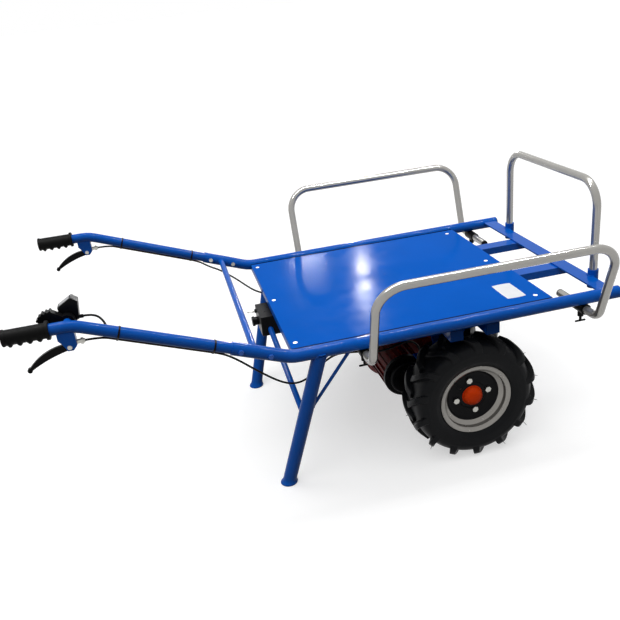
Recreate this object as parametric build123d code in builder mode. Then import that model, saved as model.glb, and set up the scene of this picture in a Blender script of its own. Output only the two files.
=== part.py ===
from build123d import *

import os
from math import atan2, cos, degrees, pi, radians, sin, tan

os.makedirs("parts", exist_ok=True)

# Reach along the machine, measured from the axle
grip_reach = 1262.0  # back to the ends of the grips
knee_reach = 545.0  # back to the knee of the rails
deck_rear = 540.0  # back to the rear edge of the deck
deck_front = 264.0  # forward to the front edge of the deck
guard_reach = 460.0  # forward to the posts of the front guard
nose_reach = 462.0  # forward to the front ends of the rails

# Rails and handle tubes
rail_spacing = 800.0  # between the axes of the two rails
rail_od = 38.0
rail_wall = 2.5
knee_radius = 120.0
slope = 21.0  # rise of the handles in degrees
socket_run = 172.0  # rail length up the slope from the knee
socket_depth = 128.0  # handle length inside the rail
telescope_gap = 0.5
handle_wall = 2.5
handle_radius = 120.0
handle_rise = 210.0  # grips above the rails
bolt_places = (64.0, 148.0)  # cross bolts, up the slope from the knee
cross_tube_place = 107.0
cross_tube_od = 20.0
cross_tube_wall = 2.0
nose_cap_flange = 3.0
nose_cap_depth = 14.0

# Grips
grip_length = 115.0
grip_wall = 4.5
grip_lip = 2.0  # flared end above the grip's surface
grip_flare = 6.0
grip_end_wall = 4.0
collar_lip = 4.5  # hand collar above the grip's surface
collar_length = 8.0
bump_count = 4
bump_first = 13.0
bump_pitch = 24.0
bump_r = 9.0
bump_sink = 3.0  # middle of the bumps inside the handle's surface
bump_drop = 5.0

# Deck and bed frame
deck_gap = 2.0
deck_sheet = 3.0
deck_flange = 20.0
deck_bend = 2.5
rail_stand = 10.0  # rails above the deck
inner_bearers = (-380.0, -170.0, 0.0)  # forward from the axle
rear_bearer_in = 19.0  # from the rear edge of the deck
front_bearer_in = 36.0  # from the front edge of the deck
bearer_width = 30.0
bearer_height = 25.0
bearer_wall = 2.0
stringer_y = 139.0
stringer_width = 50.0
crossbar_depth = 48.0
crossbar_drop = 30.0
crossbar_plate = 5.0
crossbar_reach = 452.0
deck_screw_in = 44.0  # from the sides of the deck
screw_d = 6.0
screw_length = 12.0
screw_head_r = 6.3
screw_key_r = 2.2
hole_gap = 0.3

# Guards and the sockets that hold them
guard_od = 25.0
guard_wall = 2.0
guard_corner = 80.0
socket_gap = 0.4
socket_wall = 3.6
socket_length = 60.0
socket_in = 48.0  # inner ends of the side sockets, inside the rails' axes
socket_cope = 2.0
side_posts = (-335.0, 352.0)  # rear and front posts of a side guard
side_out = 72.0  # feet of its posts, outside the rails' axes
side_lean = 80.0  # tops of its posts, outside their feet
side_rise = 216.0  # its top above the rails' axes
side_foot_bend = 40.0
peg_in = 130.0  # inner ends of its feet, inside the rails' axes
front_post_y = 275.0
front_rise = 306.0  # top of the front guard above the rails' axes
collar_drop = 30.0
collar_rise = 30.0
collar_floor = 3.0
rest_gap = 0.4
clamp_in = 16.0  # clamp screws inside the rails' axes
clamp_d = 8.0
clamp_boss_r = 9.0
clamp_boss = 14.0
clamp_shank = 34.0
clamp_bar_d = 6.0
clamp_bar = 34.0
run_gap = 0.05  # radial room of a turning fit

# Legs
leg_od = 42.0
leg_wall = 2.5
leg_top_x = -463.0
foot_x = -592.0
foot_y = 321.0
foot_od = 54.0
foot_plate = 4.0
foot_flare = 22.0
leg_trim = 8.0
strut_od = 10.0
strut_low = 236.0
strut_x = -367.0
brace_od = 18.0
brace_wall = 2.0
brace_low = 245.0
brace_in = 27.0  # its upper end, forward of the rear of the switch box
brace_drop = 36.0  # and below the bearers

# Axle carrier
tyre_gap = 7.0
beam_x = 57.0
beam_width = 40.0
beam_height = 38.0
beam_wall = 3.0
beam_cope = 2.0
hanger_y = 225.0
hanger_plate = 8.0
hanger_ring = 14.0
stop_rise = 98.0  # cable stops above the axle
stop_plate = 6.0
stop_width = 24.0

# Wheels
tyre_od = 408.0
tyre_width = 140.0
tyre_inner = 278.0  # inner faces of the tyres, from the middle
lug_depth = 15.0
shoulder_drop = 10.0
shoulder_in = 4.0
sidewall_in = 1.0
tyre_wall = 9.0
lug_count = 14
lug_width = 20.0
rim_in = 12.0  # rim flanges inside the width of the tyre
rim_flange_r = 114.0
rim_flange = 4.0
bead_r = 101.6
bead_seat = 17.0
well_slope = 6.0
drop_r = 88.0
rim_wall = 3.0
rim_disc = 4.0
disc_offset = 20.0  # bolting face of the rim, outside the middle of the tyre
rim_hole_r = 24.0
bolt_circle_r = 53.0
wheel_bolt_count = 4
wheel_bolt_turn = 10.0
wheel_bolt_d = 10.0
wheel_bolt_flats = 17.0
wheel_bolt_head = 7.0
wheel_nut = 8.0
valve_r = 5.0
valve_drop = 16.0
valve_turn = -45.0  # from the top of the wheel, forward
hub_cap_r = 33.0
hub_cap_height = 26.0
hub_cap_wall = 3.0
hub_cap_dome = 18.0

# Hubs, axle and brakes
shaft_d = 25.0
shaft_inner = 48.0
hub_r = 35.0
hub_flange_r = 70.0
hub_flange = 8.0
drum_r = 80.0
drum_wall = 6.0
drum_depth = 54.0
drum_web = 8.0
axle_tube_od = 60.0
axle_tube_wall = 5.0
axle_tube_inner = 70.0
axle_tube_outer = 262.0
axle_flange_r = 48.0
axle_flange = 6.0
bearing_ins = (30.0, 4.0)  # from the inner and outer ends of the axle tubes
bearing_width = 13.0
back_plate_r = 84.0
back_plate = 4.0
plate_gap = 2.0  # back plate to brake drum
shoe_gap = 1.0
shoe_depth = 7.0
shoe_width = 36.0
shoe_opening = 56.0
cam_x = -40.0
cam_z = 36.0
cam_d = 12.0
cam_length = 24.0
arm_plate = 6.0
arm_gap = 6.0
arm_length = 78.0
arm_tip_r = 9.0
arm_tip_bore = 5.0
wire_d = 2.5

# Gear case and motor
motor_x = -145.0
gear_big_r = 95.0
gear_small_r = 80.0
gear_half = 30.0
gear_neck_r = 42.0
gear_bore_r = 15.0
gear_rib = 6.0
motor_end = 180.0
motor_r = 66.0
motor_rib = 6.0
motor_rib_count = 20
motor_flange = 12.0
motor_cover_r = 56.0
motor_cover = 18.0

# Boxes under the deck
box_length = 74.0
box_half = 60.0
box_height = 66.0
box_corner = 5.0
charge_y = 18.0
charge_drop = 41.0  # below the bearers
charge_r = 14.0
charge_length = 12.0
charge_cap_r = 16.5
charge_cap = 8.0
switch_y = 30.0
switch_drop = 11.0  # below the bearers
switch_boss_r = 7.0
switch_boss = 6.0
switch_ball_r = 4.0
switch_stem_r = 2.2
switch_stem = 24.0
switch_knob_r = 3.4
battery_rear = 375.0
battery_front = 150.0
battery_half = 140.0
battery_height = 98.0
battery_corner = 12.0
battery_lid = 24.0
battery_groove = 2.0
controller_rear = 520.0
controller_front = 385.0
controller_left = -110.0
controller_right = -290.0
controller_height = 40.0
fin_count = 9
fin_slot = 8.0
fin_depth = 22.0

# Brake levers
bracket_width = 22.0
lever_slot = 16.0
lever_width = 14.0
lever_hub_r = 11.0
lever_ball_r = 6.5
lever_blend = 4.0
lever_edge = 2.5
pivot_x = 39.0  # forward of the grip
pivot_drop = 53.0  # below the grip's axis
pin_d = 6.0
pin_head_r = 6.0
pin_head = 3.0
bracket_front = 58.0
bracket_web = 4.0
adjuster_drop = 45.0
adjuster_r = 6.0
adjuster_length = 20.0
adjuster_nut_r = 8.5
adjuster_nut = 6.0

# Throttle on the right handle
stub_x = 42.0  # forward of the grip
stub_d = 22.0
stub_wall = 2.0
stub_length = 92.0
housing_near = 52.0  # from the handle's axis
housing_width = 34.0
housing_r = 19.0
housing_edge = 3.0
screen_length = 34.0
screen_width = 24.0
screen_plate = 2.0
screen_sink = 1.0
paddle_near = 29.0
paddle_width = 22.0
paddle_ridge_r = 3.2

# Cables
cable_d = 6.0
cable_gap = 0.2
tie_high = 470.0  # ties, up the slope from the knee
tie_low = 219.0
tie_thick = 1.4
tie_width = 5.0
slack_start = 213.0
slack_turn = 188.0
lead_join = 490.0
lead_end = 318.0
gland_r = 5.0
gland_reach = 38.0
gland_drop = 2.0
gland_y = 60.0  # from the handle's axis
grommet_r = 6.0
grommet_length = 14.0
clip_length = 8.0
clip_wall = 3.0

# Places and sizes that follow from the sizes above
sides = (("left", 1), ("right", -1))
slope_turn = radians(slope)
rail_y = rail_spacing / 2
socket_od = guard_od + 2 * socket_gap + 2 * socket_wall
front_reach = guard_reach + socket_od / 2
axle_x = (grip_reach - front_reach) / 2
axle_z = tyre_od / 2
beam_low = tyre_od + tyre_gap
rail_z = beam_low + beam_height - beam_cope + rail_od / 2
grip_z = rail_z + handle_rise
deck_top = rail_z + rail_od / 2 - rail_stand
bearer_high = deck_top - deck_sheet
bearer_low = bearer_high - bearer_height
deck_half = rail_y - rail_od / 2 - deck_gap
deck_screw_y = deck_half - deck_screw_in
rear_bearer = rear_bearer_in - deck_rear
bearer_places = (rear_bearer, *inner_bearers, deck_front - front_bearer_in)
box_front = -rear_bearer - bearer_width / 2
box_rear = box_front + box_length
box_low = bearer_low - box_height
charge_z = bearer_low - charge_drop
switch_z = bearer_low - switch_drop
brace_x = brace_in - box_rear
brace_z = bearer_low - brace_drop
battery_low = bearer_low - battery_height
controller_low = bearer_low - controller_height
handle_od = rail_od - 2 * rail_wall - 2 * telescope_gap
grip_rear = axle_x - grip_reach
grip_front = grip_rear + grip_length
grip_r = handle_od / 2 + grip_wall
bump_ring = handle_od / 2 - bump_sink
socket_start = rail_y - socket_in
side_post_y = rail_y + side_out
side_top = rail_z + side_rise
front_top = rail_z + front_rise
collar_low = rail_z - collar_drop
collar_high = rail_z + collar_rise
clamp_y = rail_y - clamp_in
peg_inner = rail_y - peg_in
peg_z = rail_z - rail_od / 2 - socket_od / 2 + socket_cope
clamp_low = peg_z - socket_od / 2 - clamp_boss
cable_drop = handle_od / 2 + cable_d / 2 + cable_gap
tyre_y = tyre_inner + tyre_width / 2
hub_face = tyre_y + disc_offset
carcass_r = tyre_od / 2 - lug_depth
shoulder_r = carcass_r - shoulder_drop
shoulder_w = tyre_width / 2 - shoulder_in
sidewall_w = tyre_width / 2 - sidewall_in
rim_w = tyre_width / 2 - rim_in
bead_w = rim_w - rim_flange
well_w = bead_w - bead_seat - well_slope
drum_open = axle_tube_outer + back_plate + plate_gap
drum_close = drum_open + drum_depth
outer_bearing = axle_tube_outer - bearing_ins[1] - bearing_width
bearing_places = (axle_tube_inner + bearing_ins[0], outer_bearing)
stop_z = axle_z + stop_rise
arm_y = axle_tube_outer - arm_gap - arm_plate / 2
axle_line = Axis((axle_x, 0, axle_z), (0, 1, 0))


def at(x):
    """X of a place that is measured forward from the axle."""
    return axle_x + x


def side_plane(s, y, x=0.0, z=0.0):
    """Upright plane at distance y from the middle, local x forward and local y up."""
    return Plane(origin=(x, s * y, z), x_dir=(1, 0, 0), z_dir=(0, -1, 0))


def axle_plane(s, y=0.0):
    """Plane through the axle at distance y, local x outward and local y up."""
    return Plane(origin=(axle_x, s * y, axle_z), x_dir=(0, s, 0), z_dir=(s, 0, 0))


def wheel_point(s, out, radius, turn):
    """Point on a wheel at distance out from the middle, turned forward from the top."""
    x = axle_x + radius * sin(radians(turn))
    return (x, s * out, axle_z + radius * cos(radians(turn)))


def slope_point(s, along, below=0.0, inward=0.0):
    """Point up the handle slope from the knee, below and inward of the tube's axis."""
    x = at(-knee_reach) - along * cos(slope_turn) - below * sin(slope_turn)
    z = rail_z + along * sin(slope_turn) - below * cos(slope_turn)
    return (x, s * (rail_y - inward), z)


def rail_points(s):
    """Corners of a rail's axis, from its front end to the mouth of the handle socket."""
    return (
        (at(nose_reach), s * rail_y, rail_z),
        (at(-knee_reach), s * rail_y, rail_z),
        slope_point(s, socket_run),
    )


def handle_points(s):
    """Corners of a handle tube's axis, from inside the rail to the end of the grip."""
    return (
        slope_point(s, socket_run - socket_depth),
        slope_point(s, handle_rise / sin(slope_turn)),
        (grip_rear + grip_end_wall, s * rail_y, grip_z),
    )


def leg_point(s, z):
    """Point on a leg's axis at height z."""
    share = z / rail_z
    x = foot_x + (leg_top_x - foot_x) * share
    y = foot_y + (rail_y - foot_y) * share
    return (at(x), s * y, z)


def round_bar(start, end, radius, mode=Mode.ADD):
    """Straight round bar between two points."""
    run = Vector(*end) - Vector(*start)
    with Locations(Plane(origin=start, z_dir=run)):
        Cylinder(radius, run.length, align=(Align.CENTER, Align.CENTER, Align.MIN), mode=mode)


def block(low, high, mode=Mode.ADD):
    """Block between two opposite corners."""
    size = Vector(*high) - Vector(*low)
    with Locations(low):
        Box(size.X, size.Y, size.Z, align=(Align.MIN, Align.MIN, Align.MIN), mode=mode)


def cut_rails():
    """Cope the part being built to the level stretch of both rails."""
    for s in (1, -1):
        start = (at(nose_reach), s * rail_y, rail_z)
        round_bar(start, (at(-knee_reach), s * rail_y, rail_z), rail_od / 2, Mode.SUBTRACT)


def screw_points(z):
    """Places of the deck screws at height z, over the first and last bearer."""
    places = (bearer_places[0], bearer_places[-1])
    return [(at(x), y, z) for x in places for y in (-deck_screw_y, 0, deck_screw_y)]


def cord_radii(points):
    """Largest even bend at each corner of a cord's route."""
    corners = [Vector(*point) for point in points]
    radii = []
    for before, corner, after in zip(corners, corners[1:], corners[2:]):
        first = corner - before
        second = after - corner
        turn = radians(first.get_angle(second))
        radii.append(0.45 * min(first.length, second.length) / tan(turn / 2))
    return radii


# Bed rails
for side, s in sides:
    with BuildPart() as rail:
        with BuildLine() as rail_run:
            FilletPolyline(*rail_points(s), radius=knee_radius)
        with BuildSketch(Plane(origin=rail_run.line @ 0, z_dir=rail_run.line % 0)):
            Circle(rail_od / 2)
            Circle(rail_od / 2 - rail_wall, mode=Mode.SUBTRACT)
        sweep()
        for place in bolt_places:
            start = slope_point(s, place, inward=rail_od)
            end = slope_point(s, place, inward=-rail_od)
            round_bar(start, end, clamp_d / 2 + hole_gap, Mode.SUBTRACT)
    rail.part.label = f"rail_{side}"
    export_step(rail.part, f"parts/rail_{side}.step")

# Handle tubes, the right one with the stub that carries the throttle
for side, s in sides:
    with BuildPart() as handle_tube:
        with BuildLine() as handle_run:
            FilletPolyline(*handle_points(s), radius=handle_radius)
        handle_end = Plane(origin=handle_run.line @ 0, z_dir=handle_run.line % 0)
        with BuildSketch(handle_end):
            Circle(handle_od / 2)
        sweep()
        if side == "right":
            stub_root = (grip_front + stub_x, s * (rail_y - handle_od / 4), grip_z)
            stub_end = (grip_front + stub_x, s * (rail_y - stub_length), grip_z)
            round_bar(stub_root, stub_end, stub_d / 2)
            round_bar(stub_root, stub_end, stub_d / 2 - stub_wall, Mode.SUBTRACT)
        with BuildSketch(handle_end):
            Circle(handle_od / 2 - handle_wall)
        sweep(path=handle_run.line, mode=Mode.SUBTRACT)
        for place in bolt_places:
            start = slope_point(s, place, inward=rail_od)
            end = slope_point(s, place, inward=-rail_od)
            round_bar(start, end, clamp_d / 2 + hole_gap, Mode.SUBTRACT)
    handle_tube.part.label = f"handle_tube_{side}"
    export_step(handle_tube.part, f"parts/handle_tube_{side}.step")

# Cross bolts that hold the handles in the rails
with BuildPart() as handle_bolts:
    for side, s in sides:
        for place in bolt_places:
            outer = slope_point(s, place, inward=-rail_od / 2)
            inner = slope_point(s, place, inward=rail_od / 2)
            nut_end = slope_point(s, place, inward=rail_od / 2 + clamp_d)
            round_bar(outer, nut_end, clamp_d / 2)
            with BuildSketch(Plane(origin=outer, x_dir=(1, 0, 0), z_dir=(0, s, 0))):
                RegularPolygon(clamp_d * 0.8, 6, major_radius=False)
            extrude(amount=clamp_d * 0.65)
            with BuildSketch(Plane(origin=inner, x_dir=(1, 0, 0), z_dir=(0, -s, 0))):
                RegularPolygon(clamp_d * 0.8, 6, major_radius=False)
            extrude(amount=clamp_d * 0.8)
handle_bolts.part.label = "handle_bolts"
export_step(handle_bolts.part, "parts/handle_bolts.step")

# Caps in the front ends of the rails and in the ends of the axle beams
with BuildPart() as rail_end_caps:
    for side, s in sides:
        nose = (at(nose_reach), s * rail_y, rail_z)
        plug_end = (at(nose_reach) - nose_cap_depth, s * rail_y, rail_z)
        cap_end = (at(nose_reach) + nose_cap_flange, s * rail_y, rail_z)
        round_bar(plug_end, nose, rail_od / 2 - rail_wall)
        round_bar(nose, cap_end, rail_od / 2)
    chamfer(rail_end_caps.edges().group_by(Axis.X)[-1], nose_cap_flange / 2)
    for side, s in sides:
        for place in (-beam_x, beam_x):
            half = beam_width / 2
            low, high = sorted((s * (rail_y - nose_cap_depth), s * rail_y))
            plug_high = beam_low + beam_height - beam_wall
            plug_low = (at(place) - half + beam_wall, low, beam_low + beam_wall)
            block(plug_low, (at(place) + half - beam_wall, high, plug_high))
            low, high = sorted((s * rail_y, s * (rail_y + nose_cap_flange)))
            cover_high = beam_low + beam_height - 2 * beam_cope
            block((at(place) - half, low, beam_low), (at(place) + half, high, cover_high))
rail_end_caps.part.label = "rail_end_caps"
export_step(rail_end_caps.part, "parts/rail_end_caps.step")

# Grips with a flared end, a hand collar and finger bumps below
for side, s in sides:
    with BuildPart() as grip:
        with BuildSketch(side_plane(s, rail_y, grip_rear, grip_z)):
            Polygon(
                (0, 0),
                (0, grip_r + grip_lip),
                (grip_flare, grip_r + grip_lip),
                (grip_flare, grip_r),
                (grip_length - collar_length, grip_r),
                (grip_length - collar_length, grip_r + collar_lip),
                (grip_length, grip_r + collar_lip),
                (grip_length, 0),
                align=None,
            )
        revolve(axis=Axis((0, s * rail_y, grip_z), (1, 0, 0)))
        for bump in range(bump_count):
            bump_x = grip_rear + bump_first + bump * bump_pitch
            with Locations(Plane(origin=(bump_x, s * rail_y, grip_z - bump_drop), z_dir=(1, 0, 0))):
                Torus(bump_ring, bump_r)
        fillet(grip.edges().filter_by(GeomType.CIRCLE).group_by(Axis.X)[0], grip_flare / 3)
        bore_start = (grip_rear + grip_end_wall, s * rail_y, grip_z)
        round_bar(bore_start, (grip_front + 1, s * rail_y, grip_z), handle_od / 2, Mode.SUBTRACT)
    grip.part.label = f"grip_{side}"
    export_step(grip.part, f"parts/grip_{side}.step")

# Cross tube between the rails behind the deck
with BuildPart() as cross_tube:
    tube_left = slope_point(1, cross_tube_place)
    tube_right = slope_point(-1, cross_tube_place)
    round_bar(tube_left, tube_right, cross_tube_od / 2)
    round_bar(tube_left, tube_right, cross_tube_od / 2 - cross_tube_wall, Mode.SUBTRACT)
    for side, s in sides:
        round_bar(slope_point(s, 0), slope_point(s, socket_run), rail_od / 2, Mode.SUBTRACT)
cross_tube.part.label = "cross_tube"
export_step(cross_tube.part, "parts/cross_tube.step")

# Deck sheet with its rear edge turned down
with BuildPart() as deck_plate:
    block((at(-deck_rear), -deck_half, bearer_high), (at(deck_front), deck_half, deck_top))
    flange_low = (at(-deck_rear), -deck_half, bearer_high - deck_flange)
    block(flange_low, (at(-deck_rear) + deck_sheet, deck_half, bearer_high))
    top_edges = deck_plate.edges().filter_by(Axis.Y).group_by(Axis.Z)[-1]
    fillet(top_edges.sort_by(Axis.X)[0], deck_bend)
    fillet(deck_plate.edges().filter_by(Axis.Z).group_by(Axis.X)[-1], deck_bend * 4)
    with Locations(*screw_points(bearer_high)):
        Cone(
            screw_d / 2 + hole_gap,
            screw_head_r,
            deck_sheet,
            align=(Align.CENTER, Align.CENTER, Align.MIN),
            mode=Mode.SUBTRACT,
        )
deck_plate.part.label = "deck_plate"
export_step(deck_plate.part, "parts/deck_plate.step")

# Deck bearers and the two front stringers, all rectangular tube
with BuildPart() as bed_frame:
    for place in bearer_places:
        half = bearer_width / 2
        block((at(place) - half, -rail_y, bearer_low), (at(place) + half, rail_y, bearer_high))
        core_low = (at(place) - half + bearer_wall, -rail_y, bearer_low + bearer_wall)
        core_high = (at(place) + half - bearer_wall, rail_y, bearer_high - bearer_wall)
        block(core_low, core_high, Mode.SUBTRACT)
    stringer_rear = at(bearer_places[-1]) + bearer_width / 2
    stringer_end = at(crossbar_reach) - crossbar_plate
    for side, s in sides:
        near = s * stringer_y - stringer_width / 2
        far = s * stringer_y + stringer_width / 2
        block((stringer_rear, near, bearer_low), (stringer_end, far, bearer_high))
        core_low = (stringer_rear, near + bearer_wall, bearer_low + bearer_wall)
        core_high = (stringer_end, far - bearer_wall, bearer_high - bearer_wall)
        block(core_low, core_high, Mode.SUBTRACT)
    for side, s in sides:
        with BuildLine() as rail_run:
            FilletPolyline(*rail_points(s), radius=knee_radius)
        with BuildSketch(Plane(origin=rail_run.line @ 0, z_dir=rail_run.line % 0)):
            Circle(rail_od / 2)
        sweep(mode=Mode.SUBTRACT)
    with Locations(*screw_points(bearer_high)):
        Hole(screw_d / 2 + hole_gap, depth=bearer_wall)
bed_frame.part.label = "bed_frame"
export_step(bed_frame.part, "parts/bed_frame.step")

# Front crossbar, an angle with the two collars of the front guard
with BuildPart() as front_crossbar:
    bar_high = bearer_high + crossbar_plate
    bar_rear = at(crossbar_reach) - crossbar_depth
    block((bar_rear, -rail_y, bearer_high), (at(crossbar_reach), rail_y, bar_high))
    leg_rear = (at(crossbar_reach) - crossbar_plate, -rail_y, bar_high - crossbar_drop)
    block(leg_rear, (at(crossbar_reach), rail_y, bearer_high))
    cut_rails()
    for side, s in sides:
        low = (at(guard_reach), s * front_post_y, collar_low)
        floor = (at(guard_reach), s * front_post_y, collar_low + collar_floor)
        high = (at(guard_reach), s * front_post_y, collar_high)
        round_bar(low, high, socket_od / 2)
        round_bar(floor, high, guard_od / 2 + socket_gap, Mode.SUBTRACT)
front_crossbar.part.label = "front_crossbar"
export_step(front_crossbar.part, "parts/front_crossbar.step")

# Deck screws with countersunk heads, flush with the deck, and a hexagon key hole
with BuildPart() as deck_screw:
    round_bar((0, 0, -screw_length), (0, 0, 0), screw_d / 2)
    with Locations((0, 0, -deck_sheet)):
        Cone(
            screw_d / 2 + hole_gap,
            screw_head_r,
            deck_sheet,
            align=(Align.CENTER, Align.CENTER, Align.MIN),
        )
    with BuildSketch():
        RegularPolygon(screw_key_r, 6)
    extrude(amount=-deck_sheet / 2, mode=Mode.SUBTRACT)
with BuildPart() as deck_screws:
    with Locations(*screw_points(deck_top)):
        add(deck_screw.part)
deck_screws.part.label = "deck_screws"
export_step(deck_screws.part, "parts/deck_screws.step")

# Axle carrier: two beams under the rails, two hanger plates and the cable stops
with BuildPart() as axle_carrier:
    beam_half = rail_y
    for place in (-beam_x, beam_x):
        near = at(place) - beam_width / 2
        far = at(place) + beam_width / 2
        block((near, -beam_half, beam_low), (far, beam_half, beam_low + beam_height))
        core_low = (near + beam_wall, -beam_half, beam_low + beam_wall)
        core_high = (far - beam_wall, beam_half, beam_low + beam_height - beam_wall)
        block(core_low, core_high, Mode.SUBTRACT)
    cut_rails()
    for side, s in sides:
        with BuildSketch(side_plane(s, hanger_y, axle_x, axle_z)):
            Circle(axle_tube_od / 2 + hanger_ring)
            hanger_top = beam_low - axle_z
            hanger_half = beam_x + beam_width / 2
            Polygon(
                (-hanger_half, hanger_top),
                (-hanger_half, hanger_top - 1),
                (hanger_half, hanger_top - 1),
                (hanger_half, hanger_top),
                align=None,
            )
            make_hull()
            Circle(axle_tube_od / 2, mode=Mode.SUBTRACT)
        extrude(amount=hanger_plate / 2, both=True)
        stop_rear = at(cam_x - arm_length) - stop_width / 2
        stop_out = arm_y + stop_width / 2
        stop_in = hanger_y - hanger_plate / 2
        low_y, high_y = sorted((s * stop_in, s * stop_out))
        block((stop_rear, low_y, stop_z - stop_plate), (at(cam_x), high_y, stop_z))
        wire_top = (at(cam_x - arm_length), s * arm_y, stop_z)
        wire_low = (at(cam_x - arm_length), s * arm_y, stop_z - stop_plate)
        round_bar(wire_low, wire_top, wire_d / 2 + hole_gap, Mode.SUBTRACT)
axle_carrier.part.label = "axle_carrier"
export_step(axle_carrier.part, "parts/axle_carrier.step")

# Legs, leaning back and toed in, with flared feet
for side, s in sides:
    with BuildPart() as leg:
        round_bar(leg_point(s, -leg_od), leg_point(s, rail_z), leg_od / 2)
        with Locations((at(foot_x), s * foot_y, 0)):
            Cylinder(foot_od / 2, foot_plate, align=(Align.CENTER, Align.CENTER, Align.MIN))
        with Locations((at(foot_x), s * foot_y, foot_plate)):
            Cone(
                foot_od / 2,
                leg_od / 2,
                foot_flare,
                align=(Align.CENTER, Align.CENTER, Align.MIN),
            )
        bore_r = leg_od / 2 - leg_wall
        bore_low = leg_point(s, foot_plate + leg_od / 4)
        round_bar(bore_low, leg_point(s, rail_z + leg_od), bore_r, Mode.SUBTRACT)
        with Locations((at(foot_x), s * foot_y, 0)):
            Box(
                foot_od * 2,
                foot_od * 2,
                leg_od * 2,
                align=(Align.CENTER, Align.CENTER, Align.MAX),
                mode=Mode.SUBTRACT,
            )
        with Locations((at(leg_top_x), s * rail_y, rail_z - leg_trim)):
            Box(
                leg_od * 3,
                leg_od * 3,
                leg_od * 3,
                align=(Align.CENTER, Align.CENTER, Align.MIN),
                mode=Mode.SUBTRACT,
            )
        cut_rails()
    leg.part.label = f"leg_{side}"
    export_step(leg.part, f"parts/leg_{side}.step")

# Rod struts from the legs to the rails and tube braces from the legs to the switch box
with BuildPart() as leg_braces:
    for side, s in sides:
        brace_end = (at(brace_x), s * (box_half - brace_od), brace_z)
        round_bar(leg_point(s, strut_low), (at(strut_x), s * rail_y, rail_z), strut_od / 2)
        round_bar(leg_point(s, brace_low), brace_end, brace_od / 2)
        bore_r = brace_od / 2 - brace_wall
        round_bar(leg_point(s, brace_low), brace_end, bore_r, Mode.SUBTRACT)
        round_bar(leg_point(s, 0), leg_point(s, rail_z), leg_od / 2, Mode.SUBTRACT)
    cut_rails()
    bearer_rear = at(bearer_places[1]) - bearer_width / 2
    bearer_front = at(bearer_places[1]) + bearer_width / 2
    block((bearer_rear, -rail_y, bearer_low), (bearer_front, rail_y, bearer_high), Mode.SUBTRACT)
    box_corner_low = (at(-box_rear), -box_half, box_low)
    block(box_corner_low, (at(-box_front), box_half, bearer_low), Mode.SUBTRACT)
leg_braces.part.label = "leg_braces"
export_step(leg_braces.part, "parts/leg_braces.step")

# Switch box under the rear bearer, with the boss of the switch lever
with BuildPart() as switch_box:
    block((at(-box_rear), -box_half, box_low), (at(-box_front), box_half, bearer_low))
    fillet(switch_box.edges().filter_by(Axis.Z), box_corner)
    chamfer(switch_box.edges().group_by(Axis.Z)[0], box_corner / 3)
    boss_root = (at(-box_rear), switch_y, switch_z)
    round_bar(boss_root, (at(-box_rear) - switch_boss, switch_y, switch_z), switch_boss_r)
switch_box.part.label = "switch_box"
export_step(switch_box.part, "parts/switch_box.step")

# Charging socket with its round cover
with BuildPart() as charge_socket:
    socket_root = (at(-box_rear), charge_y, charge_z)
    socket_face = (at(-box_rear) - charge_length, charge_y, charge_z)
    round_bar(socket_root, socket_face, charge_r)
    cover_face = (at(-box_rear) - charge_length - charge_cap, charge_y, charge_z)
    round_bar(socket_face, cover_face, charge_cap_r)
    fillet(charge_socket.edges().group_by(Axis.X)[0], charge_cap / 4)
charge_socket.part.label = "charge_socket"
export_step(charge_socket.part, "parts/charge_socket.step")

# Switch lever, a stem with a rounded pivot and knob that tips up and down
with BuildPart() as power_switch:
    pivot_face = at(-box_rear) - switch_boss - rest_gap
    pivot_root = (pivot_face, switch_y, switch_z)
    stem_end = (pivot_face - switch_stem, switch_y, switch_z)
    pivot_end = (pivot_face - 2 * switch_ball_r, switch_y, switch_z)
    knob_start = (pivot_face - switch_stem + switch_ball_r, switch_y, switch_z)
    pivot_middle = (pivot_face - switch_ball_r, switch_y, switch_z)
    round_bar(pivot_root, pivot_end, switch_ball_r)
    fillet(power_switch.edges().group_by(Axis.X)[-1], switch_ball_r * 0.9)
    round_bar(pivot_middle, stem_end, switch_stem_r)
    round_bar(knob_start, stem_end, switch_knob_r)
    fillet(power_switch.edges().group_by(Axis.X)[0], switch_knob_r * 0.5)
power_switch.part.label = "power_switch"
export_step(power_switch.part, "parts/power_switch.step")

# Battery case with a lid groove
with BuildPart() as battery_case:
    case_low = (at(-battery_rear), -battery_half, battery_low)
    block(case_low, (at(-battery_front), battery_half, bearer_low))
    fillet(battery_case.edges().filter_by(Axis.Z), battery_corner)
    groove_z = bearer_low - battery_lid
    with BuildSketch(Plane.XY.offset(groove_z)):
        with Locations((at(-(battery_rear + battery_front) / 2), 0)):
            length = battery_rear - battery_front
            RectangleRounded(length + 1, 2 * battery_half + 1, battery_corner)
            RectangleRounded(
                length - 2 * battery_groove,
                2 * (battery_half - battery_groove),
                battery_corner - battery_groove,
                mode=Mode.SUBTRACT,
            )
    extrude(amount=battery_groove, mode=Mode.SUBTRACT)
battery_case.part.label = "battery_case"
export_step(battery_case.part, "parts/battery_case.step")

# Motor controller, a finned extrusion with its fins down
with BuildPart() as controller_case:
    middle_x = at(-(controller_rear + controller_front) / 2)
    controller_plane = Plane(
        origin=(middle_x, controller_right, controller_low),
        x_dir=(-1, 0, 0),
        z_dir=(0, 1, 0),
    )
    with BuildSketch(controller_plane):
        controller_length = controller_rear - controller_front
        Rectangle(controller_length, controller_height, align=(Align.CENTER, Align.MIN))
        with GridLocations(controller_length / fin_count, 1, fin_count - 1, 1):
            Rectangle(
                fin_slot,
                fin_depth,
                align=(Align.CENTER, Align.MIN),
                mode=Mode.SUBTRACT,
            )
    extrude(amount=controller_left - controller_right)
controller_case.part.label = "controller_case"
export_step(controller_case.part, "parts/controller_case.step")

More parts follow.
